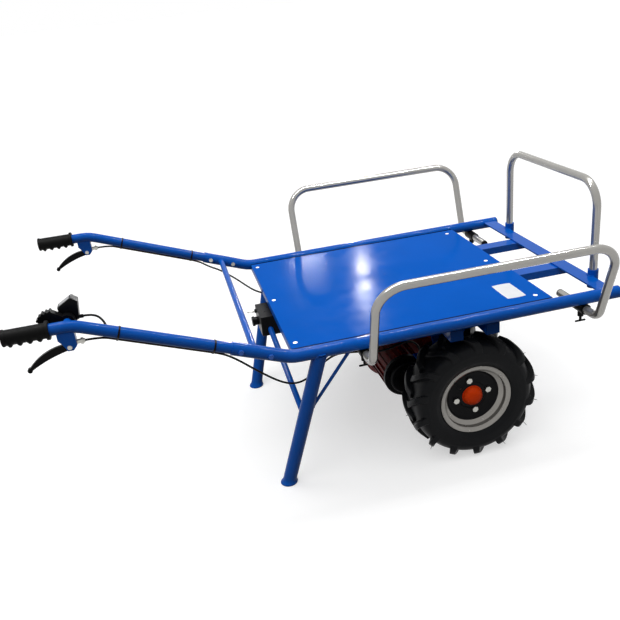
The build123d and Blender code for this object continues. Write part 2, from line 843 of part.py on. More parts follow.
# Axle tubes with a flange at the gear case, and the wheel bearings inside
with BuildPart() as axle_tubes:
    tube_r = axle_tube_od / 2
    bore_r = tube_r - axle_tube_wall
    for side, s in sides:
        with BuildSketch(axle_plane(s)):
            Polygon(
                (axle_tube_inner, bore_r),
                (axle_tube_inner, axle_flange_r),
                (axle_tube_inner + axle_flange, axle_flange_r),
                (axle_tube_inner + axle_flange, tube_r),
                (axle_tube_outer, tube_r),
                (axle_tube_outer, bore_r),
                align=None,
            )
        revolve(axis=axle_line)
axle_tubes.part.label = "axle_tubes"
export_step(axle_tubes.part, "parts/axle_tubes.step")

with BuildPart() as axle_bearings:
    for side, s in sides:
        for place in bearing_places:
            with BuildSketch(axle_plane(s)):
                Polygon(
                    (place, shaft_d / 2 + run_gap),
                    (place, axle_tube_od / 2 - axle_tube_wall),
                    (place + bearing_width, axle_tube_od / 2 - axle_tube_wall),
                    (place + bearing_width, shaft_d / 2 + run_gap),
                    align=None,
                )
            revolve(axis=axle_line)
axle_bearings.part.label = "axle_bearings"
export_step(axle_bearings.part, "parts/axle_bearings.step")

# Gear case round the axle and the motor's shaft, with a neck to each axle tube
with BuildPart() as gear_case:
    with BuildSketch(side_plane(1, 0, axle_x, axle_z)):
        Circle(gear_big_r)
        with Locations((motor_x, 0)):
            Circle(gear_small_r)
        make_hull()
    extrude(amount=gear_half, both=True)
    fillet(gear_case.edges().group_by(Axis.Y)[0], gear_rib)
    fillet(gear_case.edges().group_by(Axis.Y)[-1], gear_rib)
    with BuildSketch(side_plane(1, 0, axle_x, axle_z)):
        Circle(gear_big_r + gear_rib)
        with Locations((motor_x, 0)):
            Circle(gear_small_r + gear_rib)
        make_hull()
    extrude(amount=gear_rib, both=True)
    with BuildSketch(side_plane(1, 0, axle_x, axle_z)):
        Circle(gear_neck_r)
    extrude(amount=axle_tube_inner, both=True)
    for side, s in sides:
        with BuildSketch(side_plane(s, axle_tube_inner, axle_x, axle_z)):
            Circle(gear_bore_r)
        extrude(amount=s * (axle_tube_inner - gear_half), mode=Mode.SUBTRACT)
gear_case.part.label = "gear_case"
export_step(gear_case.part, "parts/gear_case.step")

# Motor on the right of the gear case, ribbed, with a stepped end cover
with BuildPart() as motor:
    motor_root = side_plane(-1, gear_half, at(motor_x), axle_z)
    with BuildSketch(motor_root):
        Circle(motor_r)
        with PolarLocations(motor_r, motor_rib_count):
            Rectangle(2 * motor_rib, motor_rib * 0.8)
    extrude(amount=motor_end - gear_half)
    with BuildSketch(motor_root, motor_root.offset(motor_end - gear_half - motor_flange)):
        Circle(motor_r + motor_rib)
    extrude(amount=motor_flange)
    with BuildSketch(motor_root.offset(motor_end - gear_half)):
        Circle(motor_cover_r)
    extrude(amount=motor_cover)
    fillet(motor.edges().group_by(Axis.Y)[0], motor_cover / 3)
motor.part.label = "motor"
export_step(motor.part, "parts/motor.step")

# Brake back plates with two shoes each
with BuildPart() as brake_units:
    plate_face = axle_tube_outer + back_plate
    cam_turn = degrees(atan2(cam_z, cam_x))
    shoe_r = drum_r - drum_wall - shoe_gap
    for side, s in sides:
        with BuildSketch(side_plane(s, axle_tube_outer, axle_x, axle_z)):
            Circle(back_plate_r)
            Circle(gear_bore_r, mode=Mode.SUBTRACT)
            with Locations((cam_x, cam_z)):
                Circle(cam_d / 2 + run_gap, mode=Mode.SUBTRACT)
        extrude(amount=-s * back_plate)
        with BuildSketch(side_plane(s, plate_face, axle_x, axle_z)):
            Circle(shoe_r)
            Circle(shoe_r - shoe_depth, mode=Mode.SUBTRACT)
            Rectangle(3 * shoe_r, shoe_opening, rotation=cam_turn, mode=Mode.SUBTRACT)
        extrude(amount=-s * shoe_width)
brake_units.part.label = "brake_units"
export_step(brake_units.part, "parts/brake_units.step")

# Brake cam arms, each with a tip block that slides on the cable's wire
for side, s in sides:
    with BuildPart() as brake_arm:
        arm_in = axle_tube_outer - arm_gap - arm_plate
        with BuildSketch(side_plane(s, arm_in, at(cam_x), axle_z + cam_z)):
            Circle(cam_d)
            with Locations((-arm_length, 0)):
                Circle(arm_tip_r)
            make_hull()
        extrude(amount=-s * arm_plate)
        shaft_start = (at(cam_x), s * arm_in, axle_z + cam_z)
        shaft_end = (at(cam_x), s * (axle_tube_outer + back_plate + cam_length), axle_z + cam_z)
        round_bar(shaft_start, shaft_end, cam_d / 2)
        tip_x = at(cam_x - arm_length)
        tip_low = (tip_x, s * arm_y, axle_z + cam_z - arm_tip_r)
        tip_high = (tip_x, s * arm_y, axle_z + cam_z + arm_tip_r)
        round_bar(tip_low, tip_high, arm_tip_r)
        bore_low = (tip_x, s * arm_y, axle_z + cam_z - 2 * arm_tip_r)
        bore_high = (tip_x, s * arm_y, axle_z + cam_z + 2 * arm_tip_r)
        round_bar(bore_low, bore_high, arm_tip_bore, Mode.SUBTRACT)
    brake_arm.part.label = f"brake_arm_{side}"
    export_step(brake_arm.part, f"parts/brake_arm_{side}.step")

# One tread lug for each half of the tyre, the wheel's axis along Z
with BuildPart() as tread_lug:
    with BuildSketch(Plane.YZ.offset(shoulder_r - 3 * tyre_wall)):
        half = lug_width / 2
        reach = tyre_width / 2
        mid_sweep = 0.46 * reach
        end_sweep = 0.72 * reach
        Polygon(
            (-half, -half / 3),
            (half, -half / 3),
            (mid_sweep + half, reach / 2),
            (end_sweep + half, reach),
            (end_sweep - half, reach),
            (mid_sweep - half, reach / 2),
            align=None,
        )
    extrude(amount=tyre_od / 4)
    with BuildSketch(Plane.XZ):
        root = tyre_wall / 2
        Polygon(
            (carcass_r - root, -half),
            (carcass_r - root, 0),
            (carcass_r - root - 3, shoulder_w / 2),
            (shoulder_r - root / 2, shoulder_w - 2),
            (shoulder_r - 16, sidewall_w - root / 2),
            (shoulder_r - 16, reach),
            (shoulder_r + 6, reach),
            (tyre_od / 2 - 4, reach - 6),
            (tyre_od / 2, reach / 2),
            (tyre_od / 2, -half),
            align=None,
        )
    revolve(axis=Axis.Z, mode=Mode.INTERSECT)
with BuildPart() as tread_lug_mirrored:
    add(tread_lug.part)
    mirror(about=Plane.XY, mode=Mode.REPLACE)

for side, s in sides:
    # Tyre: hollow carcass, chevron lugs and the valve
    with BuildPart() as tyre:
        with BuildSketch(axle_plane(s, tyre_y)):
            in_w = bead_w - tyre_wall
            with BuildLine():
                Line((-in_w, bead_r), (-bead_w, bead_r))
                Line((-bead_w, bead_r), (-bead_w, rim_flange_r))
                ThreePointArc(
                    (-bead_w, rim_flange_r),
                    (-sidewall_w, (rim_flange_r + shoulder_r) / 2),
                    (-shoulder_w, shoulder_r),
                )
                ThreePointArc((-shoulder_w, shoulder_r), (0, carcass_r), (shoulder_w, shoulder_r))
                ThreePointArc(
                    (shoulder_w, shoulder_r),
                    (sidewall_w, (rim_flange_r + shoulder_r) / 2),
                    (bead_w, rim_flange_r),
                )
                Line((bead_w, rim_flange_r), (bead_w, bead_r))
                Line((bead_w, bead_r), (in_w, bead_r))
                Line((in_w, bead_r), (in_w, rim_flange_r))
                ThreePointArc(
                    (in_w, rim_flange_r),
                    (sidewall_w - tyre_wall, (rim_flange_r + shoulder_r) / 2),
                    (shoulder_w - tyre_wall, shoulder_r - tyre_wall),
                )
                ThreePointArc(
                    (shoulder_w - tyre_wall, shoulder_r - tyre_wall),
                    (0, carcass_r - tyre_wall),
                    (tyre_wall - shoulder_w, shoulder_r - tyre_wall),
                )
                ThreePointArc(
                    (tyre_wall - shoulder_w, shoulder_r - tyre_wall),
                    (tyre_wall - sidewall_w, (rim_flange_r + shoulder_r) / 2),
                    (-in_w, rim_flange_r),
                )
                Line((-in_w, rim_flange_r), (-in_w, bead_r))
            make_face()
        revolve(axis=axle_line)
        tread_frame = Plane(origin=(axle_x, s * tyre_y, axle_z), x_dir=(0, 0, -1), z_dir=(0, 1, 0))
        with Locations(tread_frame):
            with PolarLocations(0, lug_count):
                add(tread_lug.part)
            with PolarLocations(0, lug_count, start_angle=180 / lug_count):
                add(tread_lug_mirrored.part)
        valve_in = tyre_y + bead_w - 1.5 * bead_seat
        valve_root = wheel_point(s, valve_in, drop_r + 2 * valve_r, valve_turn)
        valve_tip = wheel_point(s, tyre_y + bead_w + valve_r, drop_r - valve_drop, valve_turn)
        round_bar(valve_root, valve_tip, valve_r)
    tyre.part.label = f"tyre_{side}"
    export_step(tyre.part, f"parts/tyre_{side}.step")

    # Rim: barrel with a drop centre, disc, bolt holes and valve hole
    with BuildPart() as rim:
        with BuildSketch(axle_plane(s, tyre_y)):
            seat = bead_r - rim_wall
            Polygon(
                (-rim_w, rim_flange_r),
                (-bead_w, rim_flange_r),
                (-bead_w, bead_r),
                (bead_seat - bead_w, bead_r),
                (-well_w, drop_r),
                (well_w, drop_r),
                (bead_w - bead_seat, bead_r),
                (bead_w, bead_r),
                (bead_w, rim_flange_r),
                (rim_w, rim_flange_r),
                (rim_w, seat),
                (bead_w - bead_seat + 2, seat),
                (well_w + 2, drop_r - rim_wall),
                (-well_w - 2, drop_r - rim_wall),
                (bead_seat - bead_w - 2, seat),
                (-rim_w, seat),
                align=None,
            )
        revolve(axis=axle_line)
        chamfer(rim.edges().filter_by(GeomType.CIRCLE).sort_by(SortBy.RADIUS)[-4:], rim_flange / 3)
        with BuildSketch(side_plane(s, hub_face, axle_x, axle_z)):
            Circle(drop_r - rim_wall / 2)
            Circle(rim_hole_r, mode=Mode.SUBTRACT)
            with PolarLocations(bolt_circle_r, wheel_bolt_count, start_angle=wheel_bolt_turn):
                Circle(wheel_bolt_d / 2 + hole_gap, mode=Mode.SUBTRACT)
        extrude(amount=-s * rim_disc)
        round_bar(valve_root, valve_tip, valve_r + hole_gap, Mode.SUBTRACT)
    rim.part.label = f"rim_{side}"
    export_step(rim.part, f"parts/rim_{side}.step")

    # Hub with its brake drum, bolt flange and axle shaft
    with BuildPart() as wheel_hub:
        with BuildSketch(axle_plane(s)):
            Polygon(
                (shaft_inner, 0),
                (shaft_inner, shaft_d / 2),
                (drum_close - drum_web, shaft_d / 2),
                (drum_close - drum_web, drum_r - drum_wall),
                (drum_open, drum_r - drum_wall),
                (drum_open, drum_r),
                (drum_close, drum_r),
                (drum_close, hub_r),
                (hub_face - hub_flange, hub_r),
                (hub_face - hub_flange, hub_flange_r),
                (hub_face, hub_flange_r),
                (hub_face, 0),
                align=None,
            )
        revolve(axis=axle_line)
        with BuildSketch(side_plane(s, hub_face, axle_x, axle_z)):
            with PolarLocations(bolt_circle_r, wheel_bolt_count, start_angle=wheel_bolt_turn):
                Circle(wheel_bolt_d / 2 + hole_gap)
        extrude(amount=s * hub_flange, mode=Mode.SUBTRACT)
    wheel_hub.part.label = f"wheel_hub_{side}"
    export_step(wheel_hub.part, f"parts/wheel_hub_{side}.step")

    # Wheel bolts with their nuts
    with BuildPart() as wheel_bolts:
        disc_face = hub_face + rim_disc
        nut_face = hub_face - hub_flange
        bolt_spread = (bolt_circle_r, wheel_bolt_count)
        with BuildSketch(side_plane(s, nut_face - wheel_nut, axle_x, axle_z)):
            with PolarLocations(*bolt_spread, start_angle=wheel_bolt_turn):
                Circle(wheel_bolt_d / 2)
        extrude(amount=-s * (wheel_nut + hub_flange + rim_disc + wheel_bolt_head))
        with BuildSketch(side_plane(s, disc_face, axle_x, axle_z)):
            with PolarLocations(*bolt_spread, start_angle=wheel_bolt_turn):
                RegularPolygon(wheel_bolt_flats / 2, 6, major_radius=False)
        extrude(amount=-s * wheel_bolt_head)
        with BuildSketch(side_plane(s, nut_face, axle_x, axle_z)):
            with PolarLocations(*bolt_spread, start_angle=wheel_bolt_turn):
                RegularPolygon(wheel_bolt_flats / 2, 6, major_radius=False)
        extrude(amount=s * wheel_nut)
    wheel_bolts.part.label = f"wheel_bolts_{side}"
    export_step(wheel_bolts.part, f"parts/wheel_bolts_{side}.step")

    # Domed hub cap
    with BuildPart() as hub_cap:
        with BuildSketch(side_plane(s, disc_face, axle_x, axle_z)):
            Circle(hub_cap_r)
        extrude(amount=-s * hub_cap_height)
        cap_ends = hub_cap.faces().sort_by(Axis((0, 0, 0), (0, s, 0)))
        fillet(cap_ends[-1].edges(), hub_cap_dome)
        cap_ends = hub_cap.faces().sort_by(Axis((0, 0, 0), (0, s, 0)))
        offset(amount=-hub_cap_wall, openings=cap_ends[0])
    hub_cap.part.label = f"hub_cap_{side}"
    export_step(hub_cap.part, f"parts/hub_cap_{side}.step")

# Side guards, bent tubes that lean out and whose feet turn in under the rails
for side, s in sides:
    with BuildPart() as side_guard:
        rear_x = at(side_posts[0])
        front_x = at(side_posts[1])
        foot_y_out = s * side_post_y
        top_y_out = s * (side_post_y + side_lean)
        with BuildLine() as guard_run:
            FilletPolyline(
                (front_x, s * peg_inner, peg_z),
                (front_x, foot_y_out, peg_z),
                (front_x, top_y_out, side_top),
                (rear_x, top_y_out, side_top),
                (rear_x, foot_y_out, peg_z),
                (rear_x, s * peg_inner, peg_z),
                radius=[side_foot_bend, guard_corner, guard_corner, side_foot_bend],
            )
        with BuildSketch(Plane(origin=guard_run.line @ 0, z_dir=guard_run.line % 0)):
            Circle(guard_od / 2)
            Circle(guard_od / 2 - guard_wall, mode=Mode.SUBTRACT)
        sweep()
    side_guard.part.label = f"side_guard_{side}"
    export_step(side_guard.part, f"parts/side_guard_{side}.step")

# Front guard standing in the collars of the crossbar
with BuildPart() as front_guard:
    guard_foot = collar_low + collar_floor + rest_gap
    with BuildLine() as guard_run:
        FilletPolyline(
            (at(guard_reach), front_post_y, guard_foot),
            (at(guard_reach), front_post_y, front_top),
            (at(guard_reach), -front_post_y, front_top),
            (at(guard_reach), -front_post_y, guard_foot),
            radius=guard_corner,
        )
    with BuildSketch(Plane(origin=guard_run.line @ 0, z_dir=guard_run.line % 0)):
        Circle(guard_od / 2)
        Circle(guard_od / 2 - guard_wall, mode=Mode.SUBTRACT)
    sweep()
front_guard.part.label = "front_guard"
export_step(front_guard.part, "parts/front_guard.step")

# Sockets of the side guards, welded under the rails, with the bosses of their clamp screws
with BuildPart() as guard_sockets:
    for side, s in sides:
        for place in side_posts:
            inner = (at(place), s * socket_start, peg_z)
            outer = (at(place), s * (socket_start + socket_length), peg_z)
            boss_low = (at(place), s * clamp_y, clamp_low)
            boss_high = (at(place), s * clamp_y, peg_z)
            round_bar(inner, outer, socket_od / 2)
            round_bar(boss_low, boss_high, clamp_boss_r)
            round_bar(inner, outer, guard_od / 2 + socket_gap, Mode.SUBTRACT)
            round_bar(boss_low, boss_high, clamp_d / 2 + run_gap, Mode.SUBTRACT)
    cut_rails()
guard_sockets.part.label = "guard_sockets"
export_step(guard_sockets.part, "parts/guard_sockets.step")

# Clamp screws with a cross bar to turn them by
for end, place in zip(("rear", "front"), side_posts):
    for side, s in sides:
        with BuildPart() as clamp_screw:
            tip_z = peg_z - guard_od / 2 - rest_gap
            head_z = tip_z - clamp_shank
            screw_x = at(place)
            round_bar((screw_x, s * clamp_y, head_z), (screw_x, s * clamp_y, tip_z), clamp_d / 2)
            bar_start = (screw_x - clamp_bar / 2, s * clamp_y, head_z)
            bar_end = (screw_x + clamp_bar / 2, s * clamp_y, head_z)
            round_bar(bar_start, bar_end, clamp_bar_d / 2)
            chamfer(clamp_screw.edges().filter_by(GeomType.CIRCLE).group_by(Axis.X)[0], 1)
            chamfer(clamp_screw.edges().filter_by(GeomType.CIRCLE).group_by(Axis.X)[-1], 1)
        clamp_screw.part.label = f"clamp_screw_{end}_{side}"
        export_step(clamp_screw.part, f"parts/clamp_screw_{end}_{side}.step")

# Brake lever brackets, folded plates coped to the handle tubes
with BuildPart() as lever_brackets:
    for side, s in sides:
        bracket_plane = side_plane(s, rail_y, grip_front, grip_z)
        with BuildSketch(bracket_plane):
            Polygon(
                (14, -handle_od / 3),
                (bracket_front, -handle_od / 3),
                (bracket_front, 2 - pivot_drop),
                (pivot_x + 8, -pivot_drop - 10),
                (pivot_x - 6, -pivot_drop - 10),
                (pivot_x - 17, 12 - pivot_drop),
                (14, 22 - pivot_drop),
                align=None,
            )
        extrude(amount=bracket_width / 2, both=True)
        with BuildSketch(bracket_plane):
            Polygon(
                (0, 26 - pivot_drop),
                (bracket_front - bracket_web, 26 - pivot_drop),
                (bracket_front - bracket_web, -2 * pivot_drop),
                (0, -2 * pivot_drop),
                align=None,
            )
        extrude(amount=lever_slot / 2, both=True, mode=Mode.SUBTRACT)
        with BuildLine() as tube_run:
            FilletPolyline(*handle_points(s), radius=handle_radius)
        with BuildSketch(Plane(origin=tube_run.line @ 0, z_dir=tube_run.line % 0)):
            Circle(handle_od / 2)
        sweep(mode=Mode.SUBTRACT)
        with BuildSketch(bracket_plane):
            with Locations((pivot_x, -pivot_drop)):
                Circle(pin_d / 2)
        extrude(amount=bracket_width, both=True, mode=Mode.SUBTRACT)
lever_brackets.part.label = "lever_brackets"
export_step(lever_brackets.part, "parts/lever_brackets.step")

# Brake levers, curved blades with a ball end
for side, s in sides:
    with BuildPart() as brake_lever:
        lever_plane = side_plane(s, rail_y, grip_front + pivot_x, grip_z - pivot_drop)
        with BuildSketch(lever_plane) as lever_outline:
            with BuildLine():
                ThreePointArc((-5, 7), (-62, -6), (-111, -43))
                Line((-111, -43), (-108, -50))
                ThreePointArc((-108, -50), (-56, -25), (1, -9))
                Line((1, -9), (-5, 7))
            make_face()
            Circle(lever_hub_r)
            with Locations((-110, -47)):
                Circle(lever_ball_r)
            fillet(lever_outline.vertices(), lever_blend)
        extrude(amount=lever_width / 2, both=True)
        fillet(brake_lever.faces().filter_by(Axis.Y).edges(), lever_edge)
        with BuildSketch(lever_plane):
            Circle(pin_d / 2 + run_gap)
        extrude(amount=lever_width, both=True, mode=Mode.SUBTRACT)
    brake_lever.part.label = f"brake_lever_{side}"
    export_step(brake_lever.part, f"parts/brake_lever_{side}.step")

# Pivot pins, cable adjusters and the bare wires at the brake arms
with BuildPart() as brake_fittings:
    for side, s in sides:
        pin_x = grip_front + pivot_x
        pin_z = grip_z - pivot_drop
        pin_half = bracket_width / 2
        pin_in = (pin_x, s * (rail_y - pin_half), pin_z)
        pin_out = (pin_x, s * (rail_y + pin_half), pin_z)
        round_bar(pin_in, pin_out, pin_d / 2)
        round_bar(pin_in, (pin_x, s * (rail_y - pin_half - pin_head), pin_z), pin_head_r)
        round_bar(pin_out, (pin_x, s * (rail_y + pin_half + pin_head), pin_z), pin_head_r)
        adjuster_x = grip_front + bracket_front
        adjuster_z = grip_z - adjuster_drop
        root = (adjuster_x, s * rail_y, adjuster_z)
        nut = (adjuster_x + adjuster_length / 2, s * rail_y, adjuster_z)
        nut_far = (adjuster_x + adjuster_length / 2 + adjuster_nut, s * rail_y, adjuster_z)
        round_bar(root, (adjuster_x + adjuster_length, s * rail_y, adjuster_z), adjuster_r)
        round_bar(nut, nut_far, adjuster_nut_r)
        wire_x = at(cam_x - arm_length)
        wire_low = (wire_x, s * arm_y, axle_z + cam_z - 2 * arm_tip_r)
        round_bar(wire_low, (wire_x, s * arm_y, stop_z), wire_d / 2)
brake_fittings.part.label = "brake_fittings"
export_step(brake_fittings.part, "parts/brake_fittings.step")

# Throttle housing on the stub, with a seat for its screen
stub_plane = side_plane(-1, rail_y - housing_near - housing_width / 2, grip_front + stub_x, grip_z)
screen_middle = Vector(-1, 44)
screen_turn = atan2(22, 38)
screen_plane = Plane(
    origin=(
        grip_front + stub_x + screen_middle.X + screen_sink * sin(screen_turn),
        housing_near + housing_width / 2 - rail_y,
        grip_z + screen_middle.Y - screen_sink * cos(screen_turn),
    ),
    x_dir=(cos(screen_turn), 0, sin(screen_turn)),
    z_dir=(-sin(screen_turn), 0, cos(screen_turn)),
)
with BuildPart() as throttle_housing:
    with BuildSketch(stub_plane):
        Circle(housing_r)
        Polygon((-20, 33), (18, 55), (33, 43), (27, -6), (0, -housing_r), (-housing_r, 0), align=None)
    extrude(amount=housing_width / 2, both=True)
    fillet(throttle_housing.faces().filter_by(Axis.Y).edges(), housing_edge)
    gland_root = (grip_front + stub_x + housing_r, gland_y - rail_y, grip_z - gland_drop)
    gland_face = (grip_front + stub_x + gland_reach, gland_y - rail_y, grip_z - gland_drop)
    round_bar(gland_root, gland_face, gland_r)
    with BuildSketch(stub_plane):
        Circle(stub_d / 2)
    extrude(amount=housing_width, both=True, mode=Mode.SUBTRACT)
    with BuildSketch(screen_plane):
        Rectangle(screen_length, screen_width)
    extrude(amount=screen_plate * 2, mode=Mode.SUBTRACT)
throttle_housing.part.label = "throttle_housing"
export_step(throttle_housing.part, "parts/throttle_housing.step")

with BuildPart() as display_screen:
    with BuildSketch(screen_plane):
        Rectangle(screen_length, screen_width)
    extrude(amount=screen_plate)
display_screen.part.label = "display_screen"
export_step(display_screen.part, "parts/display_screen.step")

# Thumb lever of the throttle, a ring on the stub with a ridged paddle
with BuildPart() as throttle_lever:
    paddle_y = rail_y - paddle_near - paddle_width / 2
    paddle_plane = side_plane(-1, paddle_y, grip_front + stub_x, grip_z)
    with BuildSketch(paddle_plane):
        Circle(housing_r)
        Polygon(
            (-8, 17),
            (-36, 36),
            (-60, 30),
            (-72, 18),
            (-66, -4),
            (-56, -10),
            (-17, -8),
            align=None,
        )
        with Locations((-36, 35), (-46, 33.5), (-56, 31), (-65, 24), (-71, 16)):
            Circle(paddle_ridge_r)
    extrude(amount=paddle_width / 2, both=True)
    with BuildSketch(paddle_plane):
        Circle(stub_d / 2 + run_gap)
    extrude(amount=paddle_width, both=True, mode=Mode.SUBTRACT)
throttle_lever.part.label = "throttle_lever"
export_step(throttle_lever.part, "parts/throttle_lever.step")

# Brake cables along the handle tubes, from the adjusters to the lower ties
cable_start_x = grip_front + bracket_front + adjuster_length
cable_z = grip_z - adjuster_drop
for side, s in sides:
    low_end = slope_point(s, slack_start, cable_drop)
    bend_x = low_end[0] - (cable_z - low_end[2]) / tan(slope_turn)
    with BuildPart() as brake_cable:
        with BuildLine() as cable_run:
            FilletPolyline(
                (cable_start_x, s * rail_y, cable_z),
                (bend_x, s * rail_y, cable_z),
                low_end,
                radius=15 * cable_d,
            )
        with BuildSketch(Plane(origin=cable_run.line @ 0, z_dir=cable_run.line % 0)):
            Circle(cable_d / 2)
        sweep()
    brake_cable.part.label = f"brake_cable_{side}"
    export_step(brake_cable.part, f"parts/brake_cable_{side}.step")

# Routes of the slack brake cables, from the lower ties under the bed to the cable stops
wire_reach = cam_x - arm_length
slack_routes = {
    "left": [
        slope_point(1, slack_start, cable_drop),
        slope_point(1, slack_turn, cable_drop),
        (at(-691), 389, 495),
        (at(-662), 350, 492),
        (at(-635), 308, 484),
        (at(-609), 266, 474),
        (at(-584), 228, 460),
        (at(-560), 191, 449),
        (at(-537), 160, 447),
        (at(-505), 128, 447),
        (at(-467), 112, 447),
        (at(-428), 121, 447),
        (at(-396), 142, 447),
        (at(-364), 164, 447),
        (at(-326), 183, 447),
        (at(-284), 195, 446),
        (at(-241), 204, 444),
        (at(-200), 216, 437),
        (at(-163), 231, 420),
        (at(-135), 245, 389),
        (at(wire_reach), arm_y, 347),
        (at(wire_reach), arm_y, stop_z),
    ],
    "right": [
        slope_point(-1, slack_start, cable_drop),
        slope_point(-1, slack_turn, cable_drop),
        (at(-690), -396, 489),
        (at(-655), -385, 451),
        (at(-618), -373, 413),
        (at(-581), -362, 379),
        (at(-545), -353, 358),
        (at(-507), -347, 358),
        (at(-473), -344, 381),
        (at(-440), -344, 408),
        (at(-403), -345, 423),
        (at(-354), -345, 417),
        (at(-316), -341, 408),
        (at(-290), -335, 398),
        (at(-250), -321, 389),
        (at(-209), -301, 386),
        (at(-170), -277, 381),
        (at(-137), -260, 363),
        (at(wire_reach), -arm_y, 335),
        (at(wire_reach), -arm_y, stop_z),
    ],
}
for side, s in sides:
    route = slack_routes[side]
    radii = cord_radii(route)
    print(f"slack cable {side}", [round(radius, 1) for radius in radii])
    with BuildPart() as brake_cable_slack:
        with BuildLine() as slack_run:
            FilletPolyline(*route, radius=radii)
        with BuildSketch(Plane(origin=slack_run.line @ 0, z_dir=slack_run.line % 0)):
            Circle(cable_d / 2)
        sweep()
    tube_volume = slack_run.wire().length * pi * cable_d**2 / 4
    print("length", round(slack_run.wire().length, 1))
    print("volume share", round(brake_cable_slack.part.volume / tube_volume, 4))
    brake_cable_slack.part.label = f"brake_cable_slack_{side}"
    export_step(brake_cable_slack.part, f"parts/brake_cable_slack_{side}.step")

# Throttle lead from the housing along the inner side of the right handle
lead_side = cable_drop * sin(pi / 4)
lead_start_x = grip_front + stub_x + gland_reach
lead_z = grip_z - gland_drop
lead_route = [
    (lead_start_x, gland_y - rail_y, lead_z),
    (lead_start_x + 26, gland_y - rail_y, lead_z),
    (lead_start_x + 50, gland_y - rail_y - 24, lead_z - 12),
    slope_point(-1, lead_join, lead_side, lead_side),
    slope_point(-1, lead_end, lead_side, lead_side),
]
lead_radii = cord_radii(lead_route)
print("throttle lead", [round(radius, 1) for radius in lead_radii])
with BuildPart() as throttle_lead:
    with BuildLine() as lead_run:
        FilletPolyline(*lead_route, radius=lead_radii)
    with BuildSketch(Plane(origin=lead_run.line @ 0, z_dir=lead_run.line % 0)):
        Circle(cable_d / 2)
    sweep()
throttle_lead.part.label = "throttle_lead"
export_step(throttle_lead.part, "parts/throttle_lead.step")

# Cable ties round the handle tubes, and the grommet where the lead enters its tube
with BuildPart() as cable_ties:
    for side, s in sides:
        for place in (tie_high, tie_low):
            held = [(0, cable_drop)]
            if side == "right" and place == tie_high:
                held.append((lead_side, lead_side))
            tie_plane = Plane(
                origin=slope_point(s, place),
                x_dir=(0, -s, 0),
                z_dir=(s * cos(slope_turn), 0, -s * sin(slope_turn)),
            )
            with BuildSketch(tie_plane):
                Circle(handle_od / 2 + tie_thick)
                with Locations(*held):
                    Circle(cable_d / 2 + tie_thick)
                make_hull()
            extrude(amount=tie_width / 2, both=True)
            with BuildSketch(tie_plane):
                Circle(handle_od / 2)
                with Locations(*held):
                    Circle(cable_d / 2)
                make_hull()
            extrude(amount=tie_width, both=True, mode=Mode.SUBTRACT)
    grommet_face = slope_point(-1, lead_end, lead_side, lead_side)
    grommet_end = slope_point(-1, lead_end - grommet_length, lead_side, lead_side)
    round_bar(grommet_face, grommet_end, grommet_r)
    lead_tube = (slope_point(-1, lead_end + grommet_length), slope_point(-1, socket_run))
    round_bar(*lead_tube, handle_od / 2, Mode.SUBTRACT)
    # Clips that hold the slack cables under two bearers and beside the right rear socket
    clip_half = cable_d / 2 + clip_wall
    for first in (8, 12):
        start = Vector(*slack_routes["left"][first])
        end = Vector(*slack_routes["left"][first + 1])
        middle = (start + end) / 2
        level = (end - start).cross(Vector(0, 0, 1))
        with BuildSketch(Plane(origin=middle, z_dir=end - start, x_dir=level)):
            Rectangle(2 * clip_half, clip_half + bearer_low - middle.Z, align=(Align.CENTER, Align.MIN))
        extrude(amount=clip_length / 2, both=True)
        round_bar(start, end, cable_d / 2 + cable_gap, Mode.SUBTRACT)
    start = Vector(*slack_routes["right"][11])
    end = Vector(*slack_routes["right"][12])
    middle = start + (end - start) * ((at(side_posts[0]) - start.X) / (end.X - start.X))
    socket_bottom = peg_z - socket_od / 2
    block(
        (middle.X - clip_length / 2, -socket_start - clip_length, middle.Z - clip_half),
        (middle.X + clip_length / 2, middle.Y + clip_half, socket_bottom + socket_cope),
    )
    peg_end = (at(side_posts[0]), -peg_inner, peg_z)
    socket_end = (at(side_posts[0]), -socket_start - socket_length, peg_z)
    round_bar(peg_end, socket_end, socket_od / 2, Mode.SUBTRACT)
    round_bar(start, end, cable_d / 2 + cable_gap, Mode.SUBTRACT)
cable_ties.part.label = "cable_ties"
export_step(cable_ties.part, "parts/cable_ties.step")
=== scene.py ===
"""Looks of a two-wheel electric flat-bed barrow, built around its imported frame."""

import math

import bmesh
import bpy
import numpy as np
from mathutils import Matrix, Vector


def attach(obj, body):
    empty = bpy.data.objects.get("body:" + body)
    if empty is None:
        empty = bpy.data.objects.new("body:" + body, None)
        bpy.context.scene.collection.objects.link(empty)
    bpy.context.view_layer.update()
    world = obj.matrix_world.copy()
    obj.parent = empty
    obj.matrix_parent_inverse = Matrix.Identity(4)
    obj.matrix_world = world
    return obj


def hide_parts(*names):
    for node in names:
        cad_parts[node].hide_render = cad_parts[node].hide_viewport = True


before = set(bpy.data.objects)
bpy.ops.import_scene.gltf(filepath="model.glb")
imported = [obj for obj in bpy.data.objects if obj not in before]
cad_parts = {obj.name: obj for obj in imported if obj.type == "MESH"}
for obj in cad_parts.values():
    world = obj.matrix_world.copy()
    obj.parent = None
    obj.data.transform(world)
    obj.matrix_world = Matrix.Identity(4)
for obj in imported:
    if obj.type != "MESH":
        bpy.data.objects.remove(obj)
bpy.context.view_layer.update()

bl_info = {
    "name": "Electric barrow looks",
    "version": (1, 0, 0),
    "blender": (4, 5, 0),
    "location": "3D View > Sidebar > Barrow",
    "description": "Builds the visible pieces and finishes of an electric flat-bed barrow",
    "category": "Object",
}

SIDES = (("left", 1), ("right", -1))

